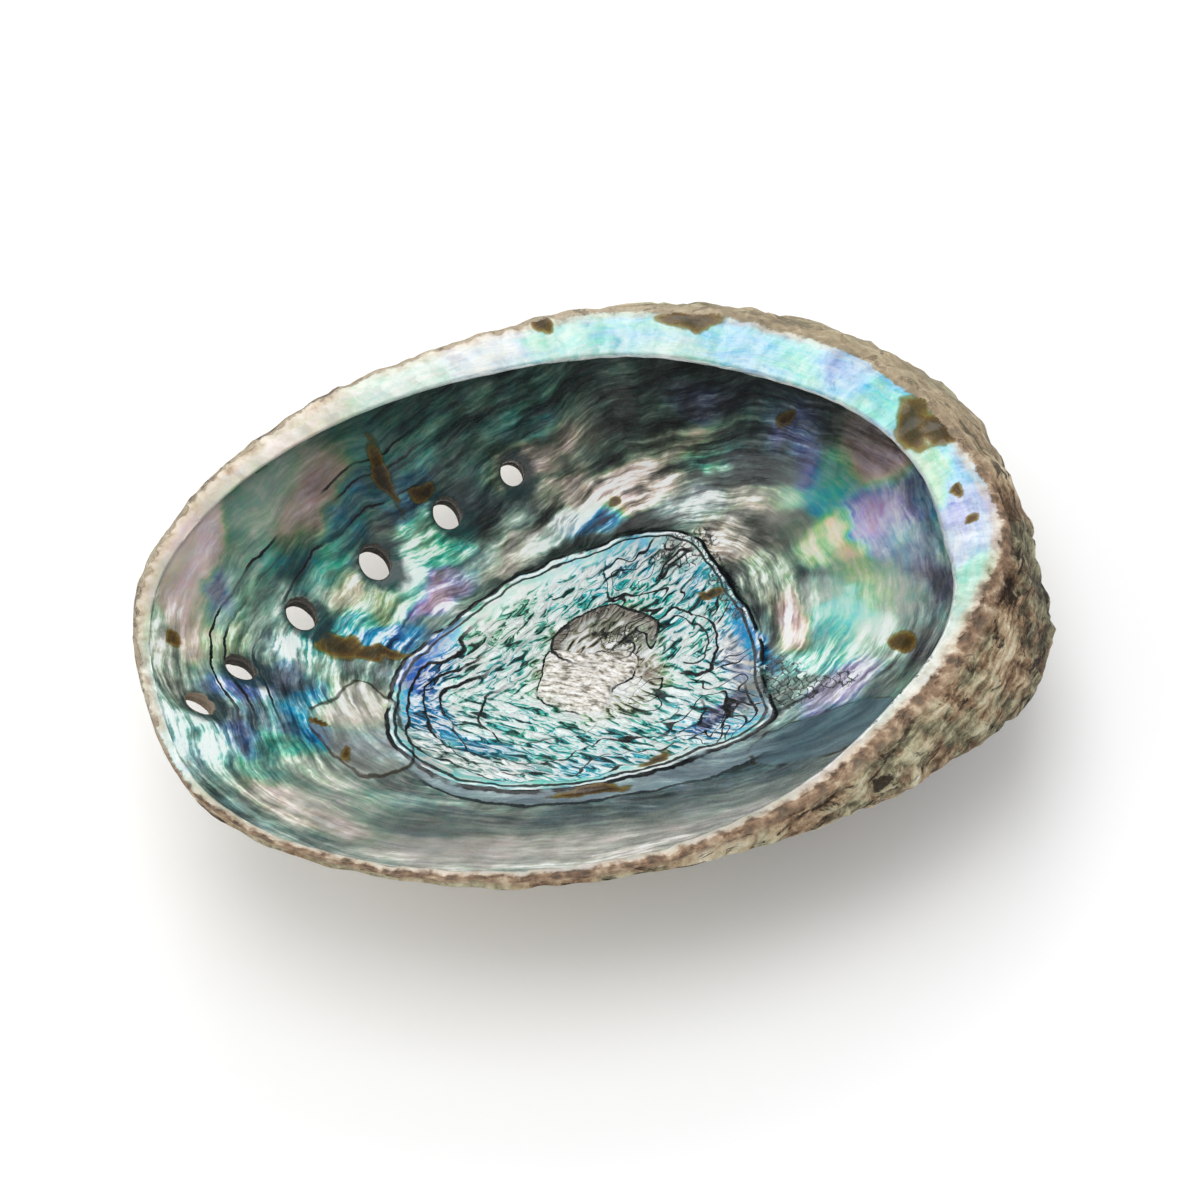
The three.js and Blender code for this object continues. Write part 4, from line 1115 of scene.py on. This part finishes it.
surface = mixed(pearl_side, crust_colour, pearl)
surface = mixed(fade(mark_of("bored"), 0.3, 0.8), surface, bore_shade_and_plug)

rough_pearl = fade(small, 0.3, 0.7, 0.16, 0.34)
rough_crust = fade(grain, 0.3, 0.7, 0.7, 0.95)
roughness = mixed(pearl_side, rough_crust, rough_pearl)
roughness = make("ShaderNodeSeparateColor", roughness, out=0)

pearl_height = times(fine_streak, times(wild, 0.22))
pearl_height = sum_of(pearl_height, times(times(ripple, ripple_zone), 2.0))
crust_height = sum_of(times(grain, 0.55), times(pits_dark, -0.6))
relief = mixed(pearl_side, times(crust_height, 1.3), pearl_height)
relief = make("ShaderNodeSeparateColor", relief, out=0)
BUMP_STRENGTH = 0.8
engraved = tree.nodes.new("ShaderNodeBump")
engraved.inputs["Strength"].default_value = BUMP_STRENGTH
engraved.inputs["Distance"].default_value = MM
tree.links.new(relief, engraved.inputs["Height"])

COAT, COAT_ROUGHNESS, NACRE_IOR, SHINE = 0.18, 0.08, 1.5, 0.3
shader = tree.nodes.new("ShaderNodeBsdfPrincipled")
tree.links.new(surface, shader.inputs["Base Color"])
tree.links.new(roughness, shader.inputs["Roughness"])
tree.links.new(engraved.outputs[0], shader.inputs["Normal"])
tree.links.new(times(pearl_side, COAT), shader.inputs["Coat Weight"])
shader.inputs["Coat Roughness"].default_value = COAT_ROUGHNESS
shader.inputs["IOR"].default_value = NACRE_IOR
shader.inputs["Specular IOR Level"].default_value = SHINE
output = tree.nodes.new("ShaderNodeOutputMaterial")
tree.links.new(shader.outputs[0], output.inputs[0])
shell_mesh.materials.clear()
shell_mesh.materials.append(finish)

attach(shell, "root")
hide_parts("abalone_shell")


# THE TABLE. A plain pale sheet of card under the shell, wide enough to run past every edge of the
# view. The shell's worn flat rests on it, a hair above so that the two faces don't coincide.
FLOOR_SIDE = 6.0
FLOOR_GAP = 0.0001
PAPER, PAPER_ROUGHNESS = (0.93, 0.93, 0.92, 1), 0.9
bpy.ops.mesh.primitive_plane_add(size=FLOOR_SIDE, location=(0, 0, shell_low.z - FLOOR_GAP))
table = bpy.context.object
table.name = "pale_table"
paper = bpy.data.materials.new("pale_paper")
paper.use_nodes = True
paper_shader = paper.node_tree.nodes["Principled BSDF"]
paper_shader.inputs["Base Color"].default_value = PAPER
paper_shader.inputs["Roughness"].default_value = PAPER_ROUGHNESS
table.data.materials.append(paper)


# LIGHT. Four soft boxes stand round the table and over it, all aimed at the shell, in a pale room
# that fills in the shadows. The room looks plain to the eye, and gives the pearl a dimmer gloss.
# Each box is (name, place from the shell's middle, side, watts).
SOFT_BOXES = [
    ("over_light", (-0.10, 0.05, 0.75), 0.5, 1.9),
    ("back_light", (0.15, 0.55, 0.50), 0.4, 1.3),
    ("window_light", (-0.65, 0.10, 0.50), 0.45, 1.2),
    ("front_fill", (0.35, -0.75, 0.45), 0.5, 0.8),
]
middle = (shell_low + shell_high) / 2
for name, offset, side, power in SOFT_BOXES:
    lamp = bpy.data.lights.new(name, "AREA")
    lamp.size = side
    lamp.energy = power
    box = bpy.data.objects.new(name, lamp)
    box.location = middle + Vector(offset)
    box.rotation_euler = (-Vector(offset)).to_track_quat("-Z", "Y").to_euler()
    bpy.context.scene.collection.objects.link(box)

ROOM_LIGHT, ROOM_GLOSS = 0.72, 0.34
ROOM_TINT, SEEN_TINT = (0.97, 0.98, 1, 1), (0.88, 0.88, 0.87, 1)
room = bpy.data.worlds.new("pale_room")
room.use_nodes = True
room_tree = room.node_tree
room_make = paint(room_tree)
lit_wall = room_tree.nodes["Background"]
lit_wall.inputs["Color"].default_value = ROOM_TINT
whose_ray = room_tree.nodes.new("ShaderNodeLightPath")
lit_strength = room_make(
    "ShaderNodeMapRange", whose_ray.outputs["Is Glossy Ray"], 0.0, 1.0, ROOM_LIGHT, ROOM_GLOSS
)
room_tree.links.new(lit_strength, lit_wall.inputs["Strength"])
seen_wall = room_tree.nodes.new("ShaderNodeBackground")
seen_wall.inputs["Color"].default_value = SEEN_TINT
seen_or_lit = room_make(
    "ShaderNodeMixShader", whose_ray.outputs["Is Camera Ray"], lit_wall.outputs[0], seen_wall.outputs[0]
)
room_tree.links.new(seen_or_lit, room_tree.nodes["World Output"].inputs["Surface"])
bpy.context.scene.world = room
bpy.context.scene.view_settings.view_transform = "Standard"


# THE CAMERA. It looks down into the hollow from the front and a little to the left, about 54
# degrees above the table. A long lens, far back, keeps the oval from being drawn out of shape.
AIM = Vector((-5.2, -13.6, SHELL_HEIGHT)) * MM
LOOK_FROM = Vector((-0.2011, -0.5523, 0.8090))
CAMERA_DISTANCE = 0.4336
LENS, SENSOR = 80, 36
camera_data = bpy.data.cameras.new("camera")
camera_data.lens = LENS
camera_data.sensor_width = SENSOR
camera = bpy.data.objects.new("camera", camera_data)
camera.location = AIM + LOOK_FROM * CAMERA_DISTANCE
camera.rotation_euler = LOOK_FROM.to_track_quat("Z", "Y").to_euler()
bpy.context.scene.collection.objects.link(camera)
bpy.context.scene.camera = camera
